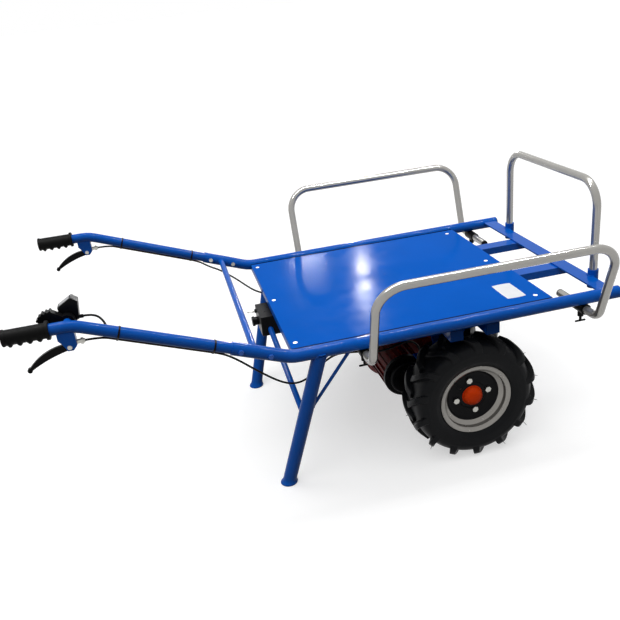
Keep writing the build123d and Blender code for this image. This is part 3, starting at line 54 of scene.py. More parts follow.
# Places that the pieces share with the frame, in metres. A run goes up the slope from the knee
AXLE_X = 0.39275
AXLE_Z = 0.204
WHEEL_Y = 0.368
TYRE_Y = 0.348
RAIL_Y = 0.4
RAIL_Z = 0.47
RAIL_FRONT = AXLE_X + 0.462
KNEE_X = AXLE_X - 0.545
SLOPE = math.radians(21)
SOCKET_RUN = 0.172
SOCKET_DEPTH = 0.128
CROSS_TUBE_RUN = 0.107
CROSS_TUBE_R = 0.01
GRIP_Z = 0.68
GRIP_LENGTH = 0.115
GRIP_REAR = AXLE_X - 1.262
GRIP_FRONT = GRIP_REAR + GRIP_LENGTH
GRIP_END_WALL = 0.004
STUB_X = GRIP_FRONT + 0.042
STUB_LENGTH = 0.092
STUB_R = 0.011
STUB_WALL = 0.002
DECK_TOP = 0.479
# Half width of the deck inside the band of painted shade along its joints with the rails
SHADED_JOINT_Y = 0.3695
PEG_Z = 0.4365
PEG_END_Y = 0.27
PEG_TURN_Y = 0.472
SIDE_GUARD_REAR = AXLE_X - 0.335
SIDE_GUARD_FRONT = AXLE_X + 0.352
SIDE_GUARD_Y = 0.552
SIDE_GUARD_Z = 0.686
FRONT_GUARD_X = AXLE_X + 0.46
FRONT_GUARD_Y = 0.275
FRONT_GUARD_Z = 0.776
FRONT_GUARD_FOOT = 0.4434
LEG_FOOT_X = AXLE_X - 0.592
LEG_FOOT_Y = 0.321
LEG_RAKE = 0.129
LEG_SPREAD = 0.079

# Bends of the tubes' centre lines
RAIL_BEND = 0.12
GUARD_BEND = 0.08
PEG_BEND = 0.04


def linear(code):
    """Linear colour of an sRGB hex code."""
    parts = np.array([int(code[i : i + 2], 16) for i in (1, 3, 5)]) / 255
    low = parts / 12.92
    high = ((parts + 0.055) / 1.055) ** 2.4
    return (*np.where(parts <= 0.04045, low, high).tolist(), 1.0)


def length_property(name, description, default):
    """A size in metres that the sidebar shows."""
    return bpy.props.FloatProperty(
        name=name, description=description, default=default, min=0.0, unit="LENGTH", precision=4
    )


def colour_property(name, description, code):
    """A colour that the sidebar shows."""
    return bpy.props.FloatVectorProperty(
        name=name, description=description, default=linear(code), size=4, min=0.0, max=1.0, subtype="COLOR"
    )


class BarrowSizes(bpy.types.PropertyGroup):
    """Sizes of the visible pieces"""

    rail_r: length_property("Rail radius", "Outer radius of a bed rail", 0.019)
    handle_r: length_property("Handle radius", "Outer radius of a handle tube", 0.016)
    guard_r: length_property("Guard radius", "Outer radius of a guard tube", 0.0125)
    tube_wall: length_property("Tube wall", "Wall of the rails and handles", 0.0025)
    guard_wall: length_property("Guard wall", "Wall of the guard tubes", 0.002)
    leg_r: length_property("Leg radius", "Outer radius of a leg", 0.021)
    foot_r: length_property("Foot radius", "Radius of a leg's foot", 0.027)
    weld_r: length_property("Weld size", "Radius of a weld bead", 0.0026)
    cable_d: length_property("Cable diameter", "Diameter of the cables", 0.006)
    lug_half: length_property("Lug half width", "Half width of a tread lug at its foot", 0.0135)
    hair: length_property("Vent hair", "Longest moulding hair on the tread", 0.018)
    hub_cap_r: length_property("Hub cap radius", "Radius of the orange hub cap", 0.033)


class BarrowColours(bpy.types.PropertyGroup):
    """Colours of the finishes"""

    enamel: colour_property("Enamel", "Blue paint of the frame", "#075BC0")
    zinc: colour_property("Zinc", "Bright guard tubes", "#AFADA8")
    plating: colour_property("Plating", "Bolts, screws and small fittings", "#B9B8B2")
    rubber: colour_property("Rubber", "Grips", "#0D0D0D")
    tread: colour_property("Tread", "Tyres", "#0D0E10")
    plastic: colour_property("Plastic", "Levers, housings and boxes", "#0E0E10")
    jacket: colour_property("Jacket", "Cables", "#0B0B0C")
    silver: colour_property("Silver", "Rims", "#928F8A")
    black: colour_property("Black", "Rim centres and painted steel", "#0B0B0D")
    orange: colour_property("Orange", "Hub caps", "#FF4A12")
    red: colour_property("Red", "Motor and gear case", "#8E120D")
    screen: colour_property("Screen", "Window of the display", "#4A4D55")
    label: colour_property("Label", "Blank plate on the deck", "#EDEFF3")
    floor: colour_property("Floor", "Studio floor", "#C6C6C6")
    floor_glow: colour_property("Floor glow", "White that the floor shows by itself", "#C5C5C5")
    floor_bounce: colour_property("Floor bounce", "What the floor throws back at the barrow", "#3C3C3C")


# Materials


def put(tree, kind, inputs=None, **settings):
    """Add a node, set its properties, and fill its inputs with values or other nodes' sockets."""
    made = tree.nodes.new("ShaderNode" + kind)
    for name, value in settings.items():
        setattr(made, name, value)
    for key, value in (inputs or {}).items():
        if isinstance(value, bpy.types.NodeSocket):
            tree.links.new(value, made.inputs[key])
        else:
            made.inputs[key].default_value = value
    return made


def per_mm(size):
    """Texture scale of a pattern whose marks are this many millimetres apart."""
    return 1000.0 / size


def start_material(name, **sockets):
    """A material with its shader's even values set, and its Object coordinates."""
    material = bpy.data.materials.new(name)
    material.use_nodes = True
    tree = material.node_tree
    shader = tree.nodes["Principled BSDF"]
    for key, value in sockets.items():
        shader.inputs[key.replace("_", " ")].default_value = value
    return material, tree, shader, put(tree, "TexCoord").outputs["Object"]


def scaled(colour, share):
    """A colour made lighter or darker."""
    return (*(min(1.0, part * share) for part in colour[:3]), 1.0)


def vary_colour(tree, shader, coords, colour, size, low, high):
    """Base colour that drifts between two shades in marks of the given size."""
    noise = put(tree, "TexNoise", {"Vector": coords, "Scale": per_mm(size), "Detail": 4.0})
    # A colour mix has its own sockets behind those for numbers
    ends = {0: noise.outputs["Fac"], 6: scaled(colour, low), 7: scaled(colour, high)}
    mix = put(tree, "Mix", ends, data_type="RGBA")
    tree.links.new(mix.outputs[2], shader.inputs["Base Color"])


def vary_roughness(tree, shader, coords, size, low, high):
    """Roughness that drifts between two values in marks of the given size."""
    noise = put(tree, "TexNoise", {"Vector": coords, "Scale": per_mm(size), "Detail": 5.0})
    # Most of the noise lies in the middle of its range
    reach = {"From Min": 0.3, "From Max": 0.7, "To Min": low, "To Max": high}
    span = put(tree, "MapRange", {"Value": noise.outputs["Fac"], **reach})
    tree.links.new(span.outputs["Result"], shader.inputs["Roughness"])


def grain(tree, shader, coords, size, depth_mm, detail=2.0):
    """Bump of noise whose marks have the given size and depth in millimetres, on any bump before it."""
    noise = put(tree, "TexNoise", {"Vector": coords, "Scale": per_mm(size), "Detail": detail})
    relief = {"Height": noise.outputs["Fac"], "Distance": depth_mm / 1000.0, "Strength": 1.0}
    bump = put(tree, "Bump", relief)
    for before in shader.inputs["Normal"].links:
        tree.links.new(before.from_socket, bump.inputs["Normal"])
    tree.links.new(bump.outputs["Normal"], shader.inputs["Normal"])


def paint_band(tree, shader, coords, middle, half, outside, inside):
    """Base colour that changes where Y leaves a band. Returns the socket that is 1 inside the band."""
    across = put(tree, "SeparateXYZ", {"Vector": coords}).outputs["Y"]
    band = put(tree, "Math", {0: across, 1: middle, 2: half}, operation="COMPARE").outputs[0]
    mix = put(tree, "Mix", {0: band, 6: outside, 7: inside}, data_type="RGBA")
    tree.links.new(mix.outputs[2], shader.inputs["Base Color"])
    return band


def seen_or_mirrored(tree):
    """A socket that is 1 for what the camera sees directly, in a mirror or through glass, and else 0."""
    path = put(tree, "LightPath").outputs
    rays = {0: path["Is Camera Ray"], 1: path["Is Glossy Ray"]}
    rays = {0: put(tree, "Math", rays, operation="ADD").outputs[0], 1: path["Is Transmission Ray"]}
    return put(tree, "Math", rays, operation="ADD").outputs[0]


def plain_finish(name, colour, shades, shine, marks=None, share=1.0, **sockets):
    """A maker of a finish whose colour and roughness drift, with a grain where it has one.

    shades and shine are (size in mm, least, most), marks are (size, depth) in mm, and share
    makes the named colour lighter or darker.
    """

    def make(colours):
        material, tree, shader, coords = start_material(name, **sockets)
        vary_colour(tree, shader, coords, scaled(getattr(colours, colour), share), *shades)
        vary_roughness(tree, shader, coords, *shine)
        if marks:
            grain(tree, shader, coords, *marks)
        return material

    return make


def sheet_enamel(colours):
    """The tubes' enamel on the thin deck sheet: its waves bend the reflections, dust dulls it in spots, and
    a band of painted shade darkens its edges where it meets the rails."""
    material, tree, shader, coords = start_material("blue_enamel_on_sheet", Specular_IOR_Level=0.004)
    vary_colour(tree, shader, coords, colours.enamel, 140.0, 0.9, 1.1)
    blue = shader.inputs["Base Color"].links[0].from_socket
    # Painted shade: along the rails the sheet's edges take a tenth of the blue, standing in for the shadow
    # in the joint
    paint_band(tree, shader, coords, 0.0, SHADED_JOINT_Y, scaled(colours.enamel, 0.1), blue)
    vary_roughness(tree, shader, coords, 60.0, 0.1, 0.2)
    grain(tree, shader, coords, 260.0, 0.7, 0.0)
    grain(tree, shader, coords, 9.0, 0.008)
    return material


def zinc_tube(colours):
    """Drawn tube with zinc plate: soft reflections under a thin dull bloom, fine lines along it."""
    material, tree, shader, coords = start_material("bright_zinc_tube", Metallic=0.6)
    vary_colour(tree, shader, coords, colours.zinc, 45.0, 0.82, 1.0)
    vary_roughness(tree, shader, coords, 14.0, 0.12, 0.2)
    along = put(tree, "UVMap", uv_map="along")
    stretched = put(tree, "Mapping", {"Vector": along.outputs["UV"], "Scale": (0.02, 1.0, 1.0)})
    # Draw lines are finer than this on the real tube; 1.6 mm is as fine as shows
    grain(tree, shader, stretched.outputs["Vector"], 1.6, 0.003)
    return material


def painted_bolts(colours):
    """Plated bolts whose heads outside the rails took the frame's blue paint."""
    material, tree, shader, coords = start_material("zinc_plate_and_blue_enamel", Roughness=0.3)
    bare = paint_band(tree, shader, coords, 0.0, RAIL_Y, colours.enamel, colours.plating)
    tree.links.new(bare, shader.inputs["Metallic"])
    grain(tree, shader, coords, 2.0, 0.01)
    return material


def motor_enamel(colours):
    """The gear case's red on the ribbed body, satin black on the end flange and cover. The black is partly
    painted shade, standing in for the shadow that falls on the motor's ends.
    """
    ribs_middle, ribs_half = -0.108, 0.058
    material, tree, shader, coords = start_material("black_and_red_enamel", Specular_IOR_Level=0.07)
    # Painted shade in part: the black outside the ribbed band stands in for the shadow on the motor's ends
    paint_band(tree, shader, coords, ribs_middle, ribs_half, colours.black, colours.red)
    vary_roughness(tree, shader, coords, 18.0, 0.26, 0.44)
    return material


# Flake, bloom and moulded grains are finer than this on the real pieces; 1.5 to 3 mm is as fine as shows
MAKERS = {
    "sheet": sheet_enamel,
    "zinc": zinc_tube,
    "bolts": painted_bolts,
    "motor": motor_enamel,
    # Sprayed gloss enamel on tube: deep colour, sharp reflections and faint orange peel
    "enamel": plain_finish(
        "blue_enamel_on_tube", "enamel", shades=(90.0, 0.9, 1.08), shine=(35.0, 0.06, 0.12),
        marks=(9.0, 0.008), Specular_IOR_Level=0.06,
    ),
    # Zinc-plated fasteners: greyish metal with a dull bloom
    "plating": plain_finish(
        "zinc_plated_steel", "plating", shades=(6.0, 0.75, 1.0), shine=(3.0, 0.28, 0.46), Metallic=1.0
    ),
    # Nickel-bright screw heads: pale discs that catch the ceiling from every side
    "screws": plain_finish(
        "nickel_bright_steel", "plating", shades=(3.0, 0.9, 1.0), shine=(2.0, 0.45, 0.6),
        share=1.7, Metallic=1.0,
    ),
    # Navy plugs in the open tube ends: darker than the paint round them
    "plugs": plain_finish(
        "navy_moulded_plugs", "enamel", shades=(12.0, 0.8, 1.1), shine=(5.0, 0.35, 0.5),
        share=0.3, Specular_IOR_Level=0.06,
    ),
    # Moulded rubber: matt, with a fine moulded grain
    "grip": plain_finish(
        "black_grip_rubber", "rubber", shades=(12.0, 0.8, 1.35), shine=(8.0, 0.5, 0.66),
        marks=(1.8, 0.12), Specular_IOR_Level=0.06,
    ),
    # Tyre rubber from a mould: near black, waxy sheen, slight dust
    "tread": plain_finish(
        "black_tread_rubber", "tread", shades=(30.0, 0.75, 1.7), shine=(22.0, 0.3, 0.48),
        marks=(2.4, 0.08), Specular_IOR_Level=0.09,
    ),
    # Moulded ABS: black with the soft shine of a spark-eroded grain
    "plastic": plain_finish(
        "black_moulded_abs", "plastic", shades=(25.0, 0.85, 1.3), shine=(10.0, 0.26, 0.4),
        marks=(1.5, 0.03), Specular_IOR_Level=0.06,
    ),
    # Extruded PVC jacket: smooth with a soft shine
    "jacket": plain_finish(
        "black_pvc_jacket", "jacket", shades=(20.0, 0.85, 1.3), shine=(9.0, 0.36, 0.5),
        Specular_IOR_Level=0.06,
    ),
    # Silver enamel on a pressed rim: aluminium flake in a binder, part mirror and part paint
    "silver": plain_finish(
        "silver_rim_enamel", "silver", shades=(1.6, 0.85, 1.0), shine=(16.0, 0.16, 0.28),
        marks=(5.0, 0.003), Metallic=0.55,
    ),
    # Satin black paint on pressed and cast steel: a dull shine over a slightly uneven skin
    "black": plain_finish(
        "black_satin_enamel", "black", shades=(20.0, 0.8, 1.5), shine=(18.0, 0.26, 0.44),
        marks=(4.0, 0.05), Specular_IOR_Level=0.07,
    ),
    # Glossy moulded cap with slight flow marks
    "orange": plain_finish(
        "orange_moulded_cap", "orange", shades=(18.0, 0.86, 1.08), shine=(12.0, 0.2, 0.34),
        Specular_IOR_Level=0.05,
    ),
    # Red enamel on castings: gloss over a slightly rough skin
    "red": plain_finish(
        "red_enamel_on_casting", "red", shades=(40.0, 0.78, 1.1), shine=(15.0, 0.3, 0.5),
        marks=(3.0, 0.2), IOR=1.5,
    ),
    # Extruded aluminium: pale metal with a matt skin
    "aluminium": plain_finish(
        "extruded_aluminium", "plating", shades=(10.0, 0.85, 1.0), shine=(6.0, 0.38, 0.52),
        share=0.8, Metallic=1.0,
    ),
    # Dark acrylic window: polished, with sharp reflections
    "screen": plain_finish(
        "dark_acrylic_window", "screen", shades=(9.0, 0.7, 1.2), shine=(14.0, 0.1, 0.2),
        IOR=1.49, Coat_Weight=0.6, Coat_Roughness=0.03,
    ),
    # Plain white vinyl with a faint crumple
    "label": plain_finish(
        "white_vinyl", "label", shades=(22.0, 0.9, 1.0), shine=(12.0, 0.3, 0.42),
        marks=(14.0, 0.12), IOR=1.48,
    ),
}
made_finishes = {}


def finish(name):
    """The material of that finish, made once."""
    if name not in made_finishes:
        made_finishes[name] = MAKERS[name](bpy.context.scene.barrow_colours)
    return made_finishes[name]


# Surfaces


def grid_faces(rows, columns, closed=True):
    """Quads of a grid of points: every row is a ring, and a closed grid ends in its first row."""
    row, column = np.indices((rows if closed else rows - 1, columns))
    next_row, next_column = (row + 1) % rows, (column + 1) % columns
    corners = ((row, column), (row, next_column), (next_row, next_column), (next_row, column))
    return np.stack([r * columns + c for r, c in corners], axis=-1).reshape(-1, 4)


def repeated(faces, count, step):
    """Faces of several like surfaces, each with step points."""
    starts = np.arange(count) * step
    return (faces[None] + starts[:, None, None]).reshape(-1, 4)


def join(surfaces):
    """One list of points and one of faces from several surfaces."""
    points = [np.asarray(surface[0]).reshape(-1, 3) for surface in surfaces]
    starts = np.cumsum([0] + [len(part) for part in points[:-1]])
    faces = [surface[1] + start for surface, start in zip(surfaces, starts)]
    return np.concatenate(points), np.concatenate(faces)


def set_piece(name, data, finish_name, body, stands_for):
    """A piece in the scene with its finish, its body and the node that it stands for."""
    piece = bpy.data.objects.new(name, data)
    bpy.context.scene.collection.objects.link(piece)
    data.materials.append(finish(finish_name))
    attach(piece, body)
    if stands_for:
        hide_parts(stands_for)
    return piece


def new_piece(name, surface, finish_name, body, stands_for=None, sharp=40.0):
    """A piece from points and quads: doubled points merged, shaded smooth except at sharp edges.

    A third part of the surface, the length and girth at every corner, becomes its UV map.
    """
    points, faces, *along = surface
    mesh = bpy.data.meshes.new(name)
    mesh.from_pydata(np.asarray(points).reshape(-1, 3).tolist(), [], faces.tolist())
    if along:
        layer = mesh.uv_layers.new(name="along")
        layer.data.foreach_set("uv", np.asarray(along[0], np.float32).ravel())
    shape = bmesh.new()
    shape.from_mesh(mesh)
    bmesh.ops.remove_doubles(shape, verts=shape.verts, dist=1e-6)
    bmesh.ops.dissolve_degenerate(shape, edges=shape.edges, dist=1e-7)
    shape.to_mesh(mesh)
    shape.free()
    mesh.shade_smooth()
    mesh.set_sharp_from_angle(angle=math.radians(sharp))
    set_piece(name, mesh, finish_name, body, stands_for)


def place_points(x, y, z):
    """Points from three arrays or numbers that broadcast to one shape."""
    return np.stack(np.broadcast_arrays(x, y, z), axis=-1)


def unit(vector):
    """Vectors of length one."""
    vector = np.asarray(vector, float)
    return vector / np.linalg.norm(vector, axis=-1, keepdims=True)


def turned(vector, axis, angle):
    """A vector turned about an axis by each of several angles: what lies along the axis stays, and
    the rest goes round it as cosine and sine."""
    c = np.cos(angle)[:, None]
    s = np.sin(angle)[:, None]
    return vector * c + np.cross(axis, vector) * s + axis * (axis @ vector) * (1 - c)


def full_turn(count):
    """Angles evenly round a circle."""
    return 2 * np.pi * np.arange(count) / count


def rings(first, second, sides):
    """Unit circles from pairs of cross directions: cos v N + sin v B."""
    turn = full_turn(sides)[:, None]
    return np.cos(turn) * first[..., None, :] + np.sin(turn) * second[..., None, :]


def circles(way, sides, aside=(0.3, 0.2, 0.93)):
    """Unit circles square to each direction. They start square to aside too."""
    first = unit(np.cross(way, aside))
    return rings(first, np.cross(way, first), sides)


def bent_tube_line(corners, bend_radii, arc_step=0.09):
    """Centre line of a bent tube: straight runs joined by arcs that touch them.

    Returns its points and two cross directions, which turn with each bend and never twist.
    """
    corners = np.asarray(corners, float)
    runs = unit(np.diff(corners, axis=0))
    across = unit(np.cross(runs[0], (0.31, 0.74, 0.6)))
    points = [corners[:1]]
    first = [across[None]]
    tangents = [runs[:1]]
    for corner, run, following, radius in zip(corners[1:-1], runs, runs[1:], bend_radii):
        turn = math.acos(np.clip(run @ following, -1, 1))
        axis = unit(np.cross(run, following))
        start = corner - run * radius * math.tan(turn / 2)
        centre = start + radius * np.cross(axis, run)
        angles = np.linspace(0, turn, max(4, int(turn / arc_step)))
        points.append(centre + turned(start - centre, axis, angles))
        first.append(turned(across, axis, angles))
        tangents.append(turned(run, axis, angles))
        across = first[-1][-1]
    points.append(corners[-1:])
    first.append(across[None])
    tangents.append(runs[-1:])
    points, first, tangents = (np.concatenate(part) for part in (points, first, tangents))
    return points, first, np.cross(tangents, first)


def pipe(corners, bend_radii, outer, inner, sides=44):
    """Bent hollow tube: P(u, v) = C(u) + r (cos v N(u) + sin v B(u)), out along one wall and back
    along the other, so that it is closed. Also gives the length and the girth of every corner."""
    points, first, second = bent_tube_line(corners, bend_radii)
    ring = rings(first, second, sides)
    walls = np.concatenate([points[:, None] + outer * ring, (points[:, None] + inner * ring)[::-1]])
    rows = len(walls)
    length = np.concatenate([[0], np.cumsum(np.linalg.norm(np.diff(points, axis=0), axis=1))])
    length = np.concatenate([length, length[::-1]])
    row, column = (part.ravel() for part in np.indices((rows, sides)))
    next_row = (row + 1) % rows
    step = 2 * np.pi * outer / sides
    corners = ((row, column), (row, column + 1), (next_row, column + 1), (next_row, column))
    along = np.stack([np.stack([length[r], c * step], axis=-1) for r, c in corners], axis=1)
    return walls, grid_faces(rows, sides), along


def lathe(profile, centre, axis, sides=96):
    """A profile of (out, radius) pairs turned round an axis:
    P(u, v) = C + out(u) A + radius(u) (cos v N + sin v B). A closed profile gives a closed body."""
    profile = np.asarray(profile, float)[:, None]
    axis = unit(axis)
    points = np.asarray(centre) + profile[..., :1] * axis + profile[..., 1:] * circles(axis, sides)
    return points, grid_faces(len(profile), sides)


def bead(line, size, closed=True, pitch=0.0045, sides=8):
    """Weld bead along a line, a round strip that swells once per ripple:
    r(u) = size (0.88 + 0.16 cos(2 pi u / pitch))."""
    line = np.asarray(line, float)
    ahead = np.roll(line, -1, axis=0) - np.roll(line, 1, axis=0)
    if not closed:
        ahead[0] = line[1] - line[0]
        ahead[-1] = line[-1] - line[-2]
    steps = np.linalg.norm(np.diff(line, axis=0, append=line[:1]), axis=1)
    length = np.concatenate([[0], np.cumsum(steps)[:-1]])
    radius = size * (0.88 + 0.16 * np.cos(2 * np.pi * length / pitch))
    if not closed:
        radius[[0, -1]] = 1e-7
    ring = circles(unit(ahead), sides, (0.23, 0.61, 0.76))
    return line[:, None] + radius[:, None, None] * ring, grid_faces(len(line), sides, closed)


def saddle(root, direction, branch_r, main_point, main_direction, main_r, count):
    """Line where a round branch meets a round tube: on the branch's surface, as far along it as
    the distance to the tube's axis is the tube's radius."""
    direction = unit(direction)
    main_direction = unit(main_direction)
    rim = np.asarray(root) + branch_r * circles(direction, count)
    offset = rim - np.asarray(main_point)
    flat = offset - (offset @ main_direction)[:, None] * main_direction
    way = direction - (direction @ main_direction) * main_direction
    a = way @ way
    b = 2 * flat @ way
    c = np.sum(flat * flat, axis=1) - main_r**2
    reach = (-b - np.sqrt(np.maximum(b * b - 4 * a * c, 0))) / (2 * a)
    return rim + reach[:, None] * direction


def slope_point(s, along, below=0.0, inward=0.0):
    """Point up the handle's slope from the knee, below and inward of the tube's axis."""
    x = KNEE_X - along * math.cos(SLOPE) - below * math.sin(SLOPE)
    z = RAIL_Z + along * math.sin(SLOPE) - below * math.cos(SLOPE)
    return np.array((x, s * (RAIL_Y - inward), z))


def leg_point(s, z):
    """Point on a leg's axis at height z."""
    share = z / RAIL_Z
    return np.array((LEG_FOOT_X + LEG_RAKE * share, s * (LEG_FOOT_Y + LEG_SPREAD * share), z))


# Stage

FLOOR_HALF = 150.0

# Name, kind, place, aim, power, and a sun's angle or a box's two sides
LAMPS = (
    ("key_sun", "SUN", (-1.1, -1.3, 2.9), (0.2, 0.0, 0.3), 0.84, 0.75),
    ("rim_sun", "SUN", (1.0, 0.8, 3.0), (0.2, 0.0, 0.3), 0.35, 0.9),
    ("ceiling_box", "AREA", (0.1, 0.3, 2.8), (0.1, 0.2, 0.4), 20.0, (4.0, 0.5)),
    ("gloss_strip", "AREA", (0.0, 0.05, 2.9), (0.0, 0.0, 0.5), 200.0, (4.0, 0.1)),
    ("strip_box", "AREA", (1.05, 3.14, 1.79), (0.184, 0.011, DECK_TOP), 28.0, (0.1, 0.42)),
    ("window", "AREA", (0.66, 3.45, 1.635), (0.06, 0.308, DECK_TOP), 8.0, (0.3, 0.045)),
)
GLINTS = ("gloss_strip", "strip_box", "window")

# Camera of the photograph, and its focal length in pixels of the picture's width
CAMERA_PLACE = (-0.41125, -2.139, 1.381)
CAMERA_FORWARD = (0.16773, 0.89923, -0.40404)
CAMERA_UP = (0.18450, 0.37397, 0.90890)
FOCAL_PIXELS = 712.76
PICTURE_PIXELS = 620
SENSOR_MM = 36.0


class BARROW_OT_stage(bpy.types.Operator):
    """Lay the floor, light the studio and place the camera where the photograph was taken"""

    bl_idname = "barrow.stage"
    bl_label = "Studio"

    def execute(self, context):
        scene = context.scene
        colours = scene.barrow_colours
        scene.view_settings.view_transform = "Standard"

        # White where it is seen or mirrored, but it throws little light up at the barrow
        material, tree, shader, _ = start_material("pale_studio_floor", Roughness=0.9)
        seen = seen_or_mirrored(tree)
        ends = {0: seen, 6: colours.floor_bounce, 7: colours.floor}
        mix = put(tree, "Mix", ends, data_type="RGBA")
        tree.links.new(mix.outputs[2], shader.inputs["Base Color"])
        shader.inputs["Emission Color"].default_value = colours.floor_glow
        tree.links.new(seen, shader.inputs["Emission Strength"])
        corners = np.array(((-1, -1, 0), (1, -1, 0), (1, 1, 0), (-1, 1, 0))) * FLOOR_HALF
        mesh = bpy.data.meshes.new("studio_floor")
        mesh.from_pydata(corners.tolist(), [], [(0, 1, 2, 3)])
        mesh.materials.append(material)
        floor = bpy.data.objects.new("studio_floor", mesh)
        scene.collection.objects.link(floor)

        world = bpy.data.worlds.new("studio_dome")
        scene.world = world
        world.use_nodes = True
        tree = world.node_tree
        # Lights like a room with dim walls and a bright ceiling, and is white where it is seen or mirrored
        height = put(tree, "SeparateXYZ", {"Vector": put(tree, "TexCoord").outputs["Generated"]})
        dome = put(tree, "ValToRGB", {"Fac": height.outputs["Z"]})
        dome.color_ramp.interpolation = "EASE"
        walls, ceiling = dome.color_ramp.elements
        walls.position, walls.color = 0.5, (0.05, 0.05, 0.05, 1.0)
        ceiling.position, ceiling.color = 0.85, (0.85, 0.85, 0.85, 1.0)
        ends = {0: seen_or_mirrored(tree), 6: dome.outputs["Color"], 7: (1.0, 1.0, 1.0, 1.0)}
        mix = put(tree, "Mix", ends, data_type="RGBA")
        tree.links.new(mix.outputs[2], tree.nodes["Background"].inputs["Color"])

        for name, kind, place, aim, power, extent in LAMPS:
            lamp = bpy.data.lights.new(name, kind)
            lamp.energy = power
            if kind == "SUN":
                lamp.angle = extent
            else:
                lamp.shape = "RECTANGLE" if max(extent) > 1 else "ELLIPSE"
                lamp.size, lamp.size_y = extent
            holder = bpy.data.objects.new(name, lamp)
            holder.location = place
            holder.rotation_mode = "QUATERNION"
            way = Vector(aim) - Vector(place)
            holder.rotation_quaternion = way.to_track_quat("-Z", "Y")
            # Three lamps are there for their glints alone, and the suns give none
            holder.visible_diffuse = name not in GLINTS
            holder.visible_glossy = kind != "SUN"
            scene.collection.objects.link(holder)

        forward = Vector(CAMERA_FORWARD).normalized()
        right = forward.cross(Vector(CAMERA_UP)).normalized()
        up = right.cross(forward)
        camera = bpy.data.cameras.new("photo_camera")
        camera.sensor_width = SENSOR_MM
        camera.lens = SENSOR_MM * FOCAL_PIXELS / PICTURE_PIXELS
        holder = bpy.data.objects.new("photo_camera", camera)
        turn = Matrix((right, up, -forward)).transposed().to_4x4()
        holder.matrix_world = Matrix.Translation(CAMERA_PLACE) @ turn
        scene.collection.objects.link(holder)
        scene.camera = holder
        return {"FINISHED"}


# Cables, whose slack points count X from the axle

CABLE_DROP = 0.0192
SLACK_START = 0.213
SLACK_TURN = 0.188
SLACK_POINTS = {
    "left": (
        (-0.691, 0.389, 0.495), (-0.662, 0.350, 0.492), (-0.635, 0.308, 0.484), (-0.609, 0.266, 0.474),
        (-0.584, 0.228, 0.460), (-0.560, 0.191, 0.449), (-0.537, 0.160, 0.447), (-0.505, 0.128, 0.447),
        (-0.467, 0.112, 0.447), (-0.428, 0.121, 0.447), (-0.396, 0.142, 0.447), (-0.364, 0.164, 0.447),
        (-0.326, 0.183, 0.447), (-0.284, 0.195, 0.446), (-0.241, 0.204, 0.444), (-0.200, 0.216, 0.437),
        (-0.163, 0.231, 0.420), (-0.135, 0.245, 0.389), (-0.118, 0.253, 0.347),
    ),
    "right": (
        (-0.690, -0.396, 0.489), (-0.655, -0.385, 0.451), (-0.618, -0.373, 0.413), (-0.581, -0.362, 0.379),
        (-0.545, -0.353, 0.358), (-0.507, -0.347, 0.358), (-0.473, -0.344, 0.381), (-0.440, -0.344, 0.408),
        (-0.403, -0.345, 0.423), (-0.354, -0.345, 0.417), (-0.316, -0.341, 0.408), (-0.290, -0.335, 0.398),
        (-0.250, -0.321, 0.389), (-0.209, -0.301, 0.386), (-0.170, -0.277, 0.381), (-0.137, -0.260, 0.363),
        (-0.118, -0.253, 0.335),
    ),
}
WIRE_X = AXLE_X - 0.118
ARM_Y = 0.253
STOP_Z = 0.302
ADJUSTER_X = GRIP_FRONT + 0.078
ADJUSTER_DROP = 0.045
LEAD_START = (GRIP_FRONT + 0.08, 0.06 - RAIL_Y, GRIP_Z - 0.002)
LEAD_AHEAD = (0.026, 0, 0)
LEAD_BEND = (0.05, -0.024, -0.012)
LEAD_JOIN = 0.490
LEAD_END = 0.318


def cable(name, points, diameter, stands_for):
    """A cable on one smooth line: a second-degree NURBS with the given control points."""
    curve = bpy.data.curves.new(name, "CURVE")
    curve.dimensions = "3D"
    curve.bevel_depth = diameter / 2
    curve.bevel_resolution = 5
    curve.resolution_u = 8
    curve.use_fill_caps = True
    spline = curve.splines.new("NURBS")
    spline.points.add(len(points) - 1)
    spline.points.foreach_set("co", np.insert(np.asarray(points, float), 3, 1.0, axis=1).ravel())
    spline.order_u = 3
    spline.use_endpoint_u = True
    return set_piece(name, curve, "jacket", "frame", stands_for)


class BARROW_OT_cables(bpy.types.Operator):
    """Hang the brake cables and lay the throttle lead"""

    bl_idname = "barrow.cables"
    bl_label = "Cables"

    def execute(self, context):
        diameter = context.scene.barrow_sizes.cable_d
        for side, s in SIDES:
            low = slope_point(s, SLACK_START, CABLE_DROP)
            route = [
                low,
                slope_point(s, SLACK_TURN, CABLE_DROP),
                *((AXLE_X + x, y, z) for x, y, z in SLACK_POINTS[side]),
                (WIRE_X, s * ARM_Y, STOP_Z),
            ]
            slack = cable(f"hanging_brake_cable_{side}", route, diameter, f"brake_cable_slack_{side}")
            start = np.array((ADJUSTER_X, s * RAIL_Y, GRIP_Z - ADJUSTER_DROP))
            bend = np.array((low[0] - (start[2] - low[2]) / math.tan(SLOPE), start[1], start[2]))
            after = bend + unit(low - bend) * np.linalg.norm(bend - start)
            cable(f"held_brake_cable_{side}", (start, bend, after, low), diameter, f"brake_cable_{side}")
        beside = CABLE_DROP * math.sin(math.pi / 4)
        start = np.array(LEAD_START)
        meet = slope_point(-1, LEAD_JOIN, beside, beside)
        end = slope_point(-1, LEAD_END, beside, beside)
        bend = start + LEAD_BEND
        after = meet + unit(end - meet) * np.linalg.norm(meet - bend)
        route = (start, start + LEAD_AHEAD, bend, meet, after, end)
        cable("throttle_cable", route, diameter, "throttle_lead")
        return {"FINISHED"}


# Tubes


